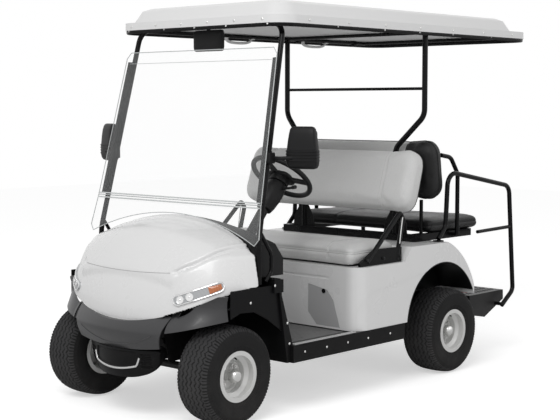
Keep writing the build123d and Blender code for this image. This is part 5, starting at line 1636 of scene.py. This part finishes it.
def restraint_bolts():
    """Bolts through the hip restraints' plates."""
    tree = tree_of("hip_restraints")
    low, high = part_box("hip_restraints")
    bolt = [(0, 0.0105), (0.0015, 0.0105), (0.002, 0.0085), (0.008, 0.0085), (0.0095, 0.0065),
            (0.0098, 0.001)]
    shape = Shape()
    for side in SIDES:
        for y in (low[1] + 0.05, (low[1] + high[1]) / 2, high[1] - 0.05):
            hit = cast(tree, (side * 1.2, y, RESTRAINT_BOLT_Z), (-side, 0, 0))
            if hit:
                shape.lathe(bolt, hit[0], hit[1], 6)
    make("restraint_bolts", shape, ["frame"], "chassis")


def panel_latch():
    """Round latch of the access panel."""
    low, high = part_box("access_panel")
    at, out = cast(tree_of("access_panel"), ((low[0] + high[0]) / 2, -0.8, high[2] - 0.03), (0, 1, 0))
    shape = Shape()
    shape.lathe([(0, 0.012), (0.003, 0.0118), (0.004, 0.010), (0.004, 0.006), (0.003, 0.001)], at, out, 28)
    make("panel_latch", shape, ["trim"], "chassis")


# ---------------------------------------------------------------- finishes of the carried parts
NODE_FINISHES = {
    "front_cowl": "body", "rear_body": "body", "access_panel": "panel", "roof_panel": "roof",
    "roof_liner": "liner", "front_bumper": "bumper", "front_grille": "trim", "leg_shield": "trim",
    "rocker_panels": "trim", "rear_wheel_wells": "trim", "canopy_frame": "tube", "rear_struts": "tube",
    "grab_rails": "tube", "hip_restraints": "tube", "windscreen_strips": "tube", "chassis_frame": "frame",
    "front_axle_beam": "frame", "leaf_springs": "frame", "rear_axle": "frame", "knuckle_left": "frame",
    "knuckle_right": "frame", "tie_rod": "frame", "drive_motor": "motor", "battery_pack": "battery",
    "floor_pan": "mat", "dashboard": "dash", "steering_column": "dash", "pedals": "dash",
    "steering_wheel": "dash", "mirrors": "dash", "rear_step": "step", "windscreen_upper": "pane",
    "windscreen_lower": "pane", "head_lamps": "lens", "tail_lamps": "red", "rim_front_left": "steel",
    "rim_front_right": "steel", "rim_rear_left": "steel", "rim_rear_right": "steel",
    "front_seat_cushion": "vinyl", "front_backrest": "vinyl", "rear_seat_cushion": "vinyl_dark",
    "rear_backrest": "vinyl_dark", "tyre_front_left": "tyre", "tyre_front_right": "tyre",
    "tyre_rear_left": "tyre", "tyre_rear_right": "tyre",
}


# ---------------------------------------------------------------- stage
CAMERA_AT = (4.55, -5.1455, 1.457)
CAMERA_TILT = math.radians(85.3)
CAMERA_TURN = math.radians(42.5)
LENS = 82.03
FILM_WIDTH = 36.0
LIGHTS_AIM = (0, 0, 0.8)
WORLD_FILL = 0.52
FLOOR_REACH = 14.0
FLOOR_GLOW = 0.53


def add_area(name, place, size, power):
    """A rectangular light aimed at the cart's middle."""
    data = bpy.data.lights.new(name, "AREA")
    data.shape = "RECTANGLE"
    data.size, data.size_y = size
    data.energy = power
    light = bpy.data.objects.new(name, data)
    light.location = place
    way = Vector(LIGHTS_AIM) - Vector(place)
    light.rotation_euler = way.to_track_quat("-Z", "Y").to_euler()
    bpy.context.scene.collection.objects.link(light)


def white_background(tree, strength):
    """A white background shader."""
    node = tree.nodes.new("ShaderNodeBackground")
    node.inputs["Color"].default_value = (1, 1, 1, 1)
    node.inputs["Strength"].default_value = strength
    return node.outputs[0]


def white_world():
    """White where the camera, glass or a reflection sees it, and a softer white as light."""
    world = bpy.data.worlds.new("studio")
    bpy.context.scene.world = world
    world.use_nodes = True
    tree = world.node_tree
    tree.nodes.clear()
    out = tree.nodes.new("ShaderNodeOutputWorld")
    path = tree.nodes.new("ShaderNodeLightPath")
    seen = math_node(tree, "MAXIMUM", path.outputs["Is Camera Ray"], path.outputs["Is Transmission Ray"])
    seen = math_node(tree, "MAXIMUM", seen, path.outputs["Is Glossy Ray"])
    mix = tree.nodes.new("ShaderNodeMixShader")
    tree.links.new(seen, mix.inputs[0])
    tree.links.new(white_background(tree, WORLD_FILL), mix.inputs[1])
    tree.links.new(white_background(tree, 1.0), mix.inputs[2])
    tree.links.new(mix.outputs[0], out.inputs["Surface"])


def white_floor():
    """A wide white floor that keeps the cart's shadow."""
    mesh = bpy.data.meshes.new("studio_floor")
    corners = ((-1, -1), (1, -1), (1, 1), (-1, 1))
    mesh.from_pydata([(x * FLOOR_REACH, y * FLOOR_REACH, 0) for x, y in corners], [], [(0, 1, 2, 3)])
    floor = bpy.data.objects.new("studio_floor", mesh)
    bpy.context.scene.collection.objects.link(floor)
    material, tree, shader = new_material("studio_floor")
    shader.inputs["Base Color"].default_value = (0.85, 0.85, 0.85, 1.0)
    shader.inputs["Roughness"].default_value = 0.9
    shader.inputs["Specular IOR Level"].default_value = 0.0
    shader.inputs["Emission Color"].default_value = (1, 1, 1, 1)
    path = tree.nodes.new("ShaderNodeLightPath")
    tree.links.new(math_node(tree, "MULTIPLY", path.outputs["Is Camera Ray"], FLOOR_GLOW),
                   shader.inputs["Emission Strength"])
    mesh.materials.append(material)


def camera():
    """The camera in front of the cart's left corner."""
    data = bpy.data.cameras.new("camera")
    data.lens = LENS
    data.sensor_width = FILM_WIDTH
    view = bpy.data.objects.new("camera", data)
    view.location = CAMERA_AT
    view.rotation_euler = (CAMERA_TILT, 0.0, CAMERA_TURN)
    bpy.context.scene.collection.objects.link(view)
    bpy.context.scene.camera = view


# ---------------------------------------------------------------- operators
class CART_OT_stage(bpy.types.Operator):
    """Camera, lights, world and floor"""

    bl_idname = "cart.stage"
    bl_label = "Stage"

    def execute(self, context):
        context.scene.view_settings.view_transform = "Standard"
        camera()
        white_world()
        white_floor()
        add_area("key", (2.2, -4.6, 5.2), (3.6, 2.6), 165.0)
        add_area("side", (5.4, 1.6, 3.0), (3.0, 2.4), 25.0)
        return {"FINISHED"}


class CART_OT_finishes(bpy.types.Operator):
    """Procedural finishes on every carried part"""

    bl_idname = "cart.finishes"
    bl_label = "Finishes"

    def execute(self, context):
        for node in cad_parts:
            wear(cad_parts[node].data, NODE_FINISHES[node])
        return {"FINISHED"}


class CART_OT_tyres(bpy.types.Operator):
    """Tyres with zigzag tread"""

    bl_idname = "cart.tyres"
    bl_label = "Tyres"

    def execute(self, context):
        for wheel in WHEELS:
            tyre(wheel)
        return {"FINISHED"}


class CART_OT_wheel_fittings(bpy.types.Operator):
    """Nuts, hub caps and valves"""

    bl_idname = "cart.wheel_fittings"
    bl_label = "Wheel fittings"

    def execute(self, context):
        for wheel in WHEELS:
            wheel_fittings(wheel)
        return {"FINISHED"}


class CART_OT_front_seat(bpy.types.Operator):
    """Front cushion and back with welts and stitches"""

    bl_idname = "cart.front_seat"
    bl_label = "Front seat"

    def execute(self, context):
        front_cushion()
        front_back()
        return {"FINISHED"}


class CART_OT_rear_seat(bpy.types.Operator):
    """Rear cushion and back with welts and stitches"""

    bl_idname = "cart.rear_seat"
    bl_label = "Rear seat"

    def execute(self, context):
        rear_cushion()
        rear_back()
        return {"FINISHED"}


class CART_OT_pane_trim(bpy.types.Operator):
    """Edges and joint of the windscreen"""

    bl_idname = "cart.pane_trim"
    bl_label = "Windscreen trim"

    def execute(self, context):
        pane_trim()
        return {"FINISHED"}


class CART_OT_screws(bpy.types.Operator):
    """Screws and bolts, and the roof's rail, clamps and assist handles"""

    bl_idname = "cart.screws"
    bl_label = "Screws and roof rail"

    def execute(self, context):
        roof_screws()
        roof_rail()
        assist_handles()
        trim_screws()
        restraint_bolts()
        return {"FINISHED"}


class CART_OT_floor_trim(bpy.types.Operator):
    """Mat ribs, sill strips, toe board cover and step diamonds"""

    bl_idname = "cart.floor_trim"
    bl_label = "Floor and step"

    def execute(self, context):
        mat_ribs()
        sill_strips()
        toe_cover()
        step_diamonds()
        return {"FINISHED"}


class CART_OT_nose(bpy.types.Operator):
    """Scoop, cowl, bumper bead, head lamps and the access panel's latch"""

    bl_idname = "cart.nose"
    bl_label = "Nose"

    def execute(self, context):
        grille()
        scoop_strip()
        nose_liner()
        cowl()
        bumper_bead()
        lamp_detail(1, "left")
        lamp_detail(-1, "right")
        panel_latch()
        return {"FINISHED"}


class CART_OT_controls(bpy.types.Operator):
    """Mirrors, dash controls, pedal pads, steering hub and column, gussets and painted highlight strips on
    the restraints
    """

    bl_idname = "cart.controls"
    bl_label = "Mirrors and controls"

    def execute(self, context):
        mirrors()
        dash_controls()
        pedal_pads()
        steering_hub()
        column_shroud()
        post_gussets()
        restraint_highlight_strips()
        return {"FINISHED"}


STEPS = ("stage", "finishes", "tyres", "wheel_fittings", "front_seat", "rear_seat", "pane_trim", "screws",
         "floor_trim", "nose", "controls")


class CART_PT_panel(bpy.types.Panel):
    """Cart dressing in the sidebar"""

    bl_label = "Cart dressing"
    bl_idname = "CART_PT_panel"
    bl_space_type = "VIEW_3D"
    bl_region_type = "UI"
    bl_category = "Cart"

    def draw(self, context):
        layout = self.layout
        for group in (context.scene.cart_sizes, context.scene.cart_colours):
            for name in group.__annotations__:
                layout.prop(group, name)
        for step in STEPS:
            layout.operator(f"cart.{step}")


CLASSES = (CartSizes, CartColours, CART_OT_stage, CART_OT_finishes, CART_OT_tyres, CART_OT_wheel_fittings,
           CART_OT_front_seat, CART_OT_rear_seat, CART_OT_pane_trim, CART_OT_screws, CART_OT_floor_trim,
           CART_OT_nose, CART_OT_controls, CART_PT_panel)


def register():
    """Registers the classes and hangs both settings on the scene."""
    for made in CLASSES:
        bpy.utils.register_class(made)
    bpy.types.Scene.cart_sizes = bpy.props.PointerProperty(type=CartSizes)
    bpy.types.Scene.cart_colours = bpy.props.PointerProperty(type=CartColours)


def unregister():
    """Takes the settings and the classes away again."""
    del bpy.types.Scene.cart_colours
    del bpy.types.Scene.cart_sizes
    for made in reversed(CLASSES):
        bpy.utils.unregister_class(made)


def main():
    """Registers the add-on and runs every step."""
    register()
    for step in STEPS:
        getattr(bpy.ops.cart, step)()


if __name__ == "__main__":
    main()
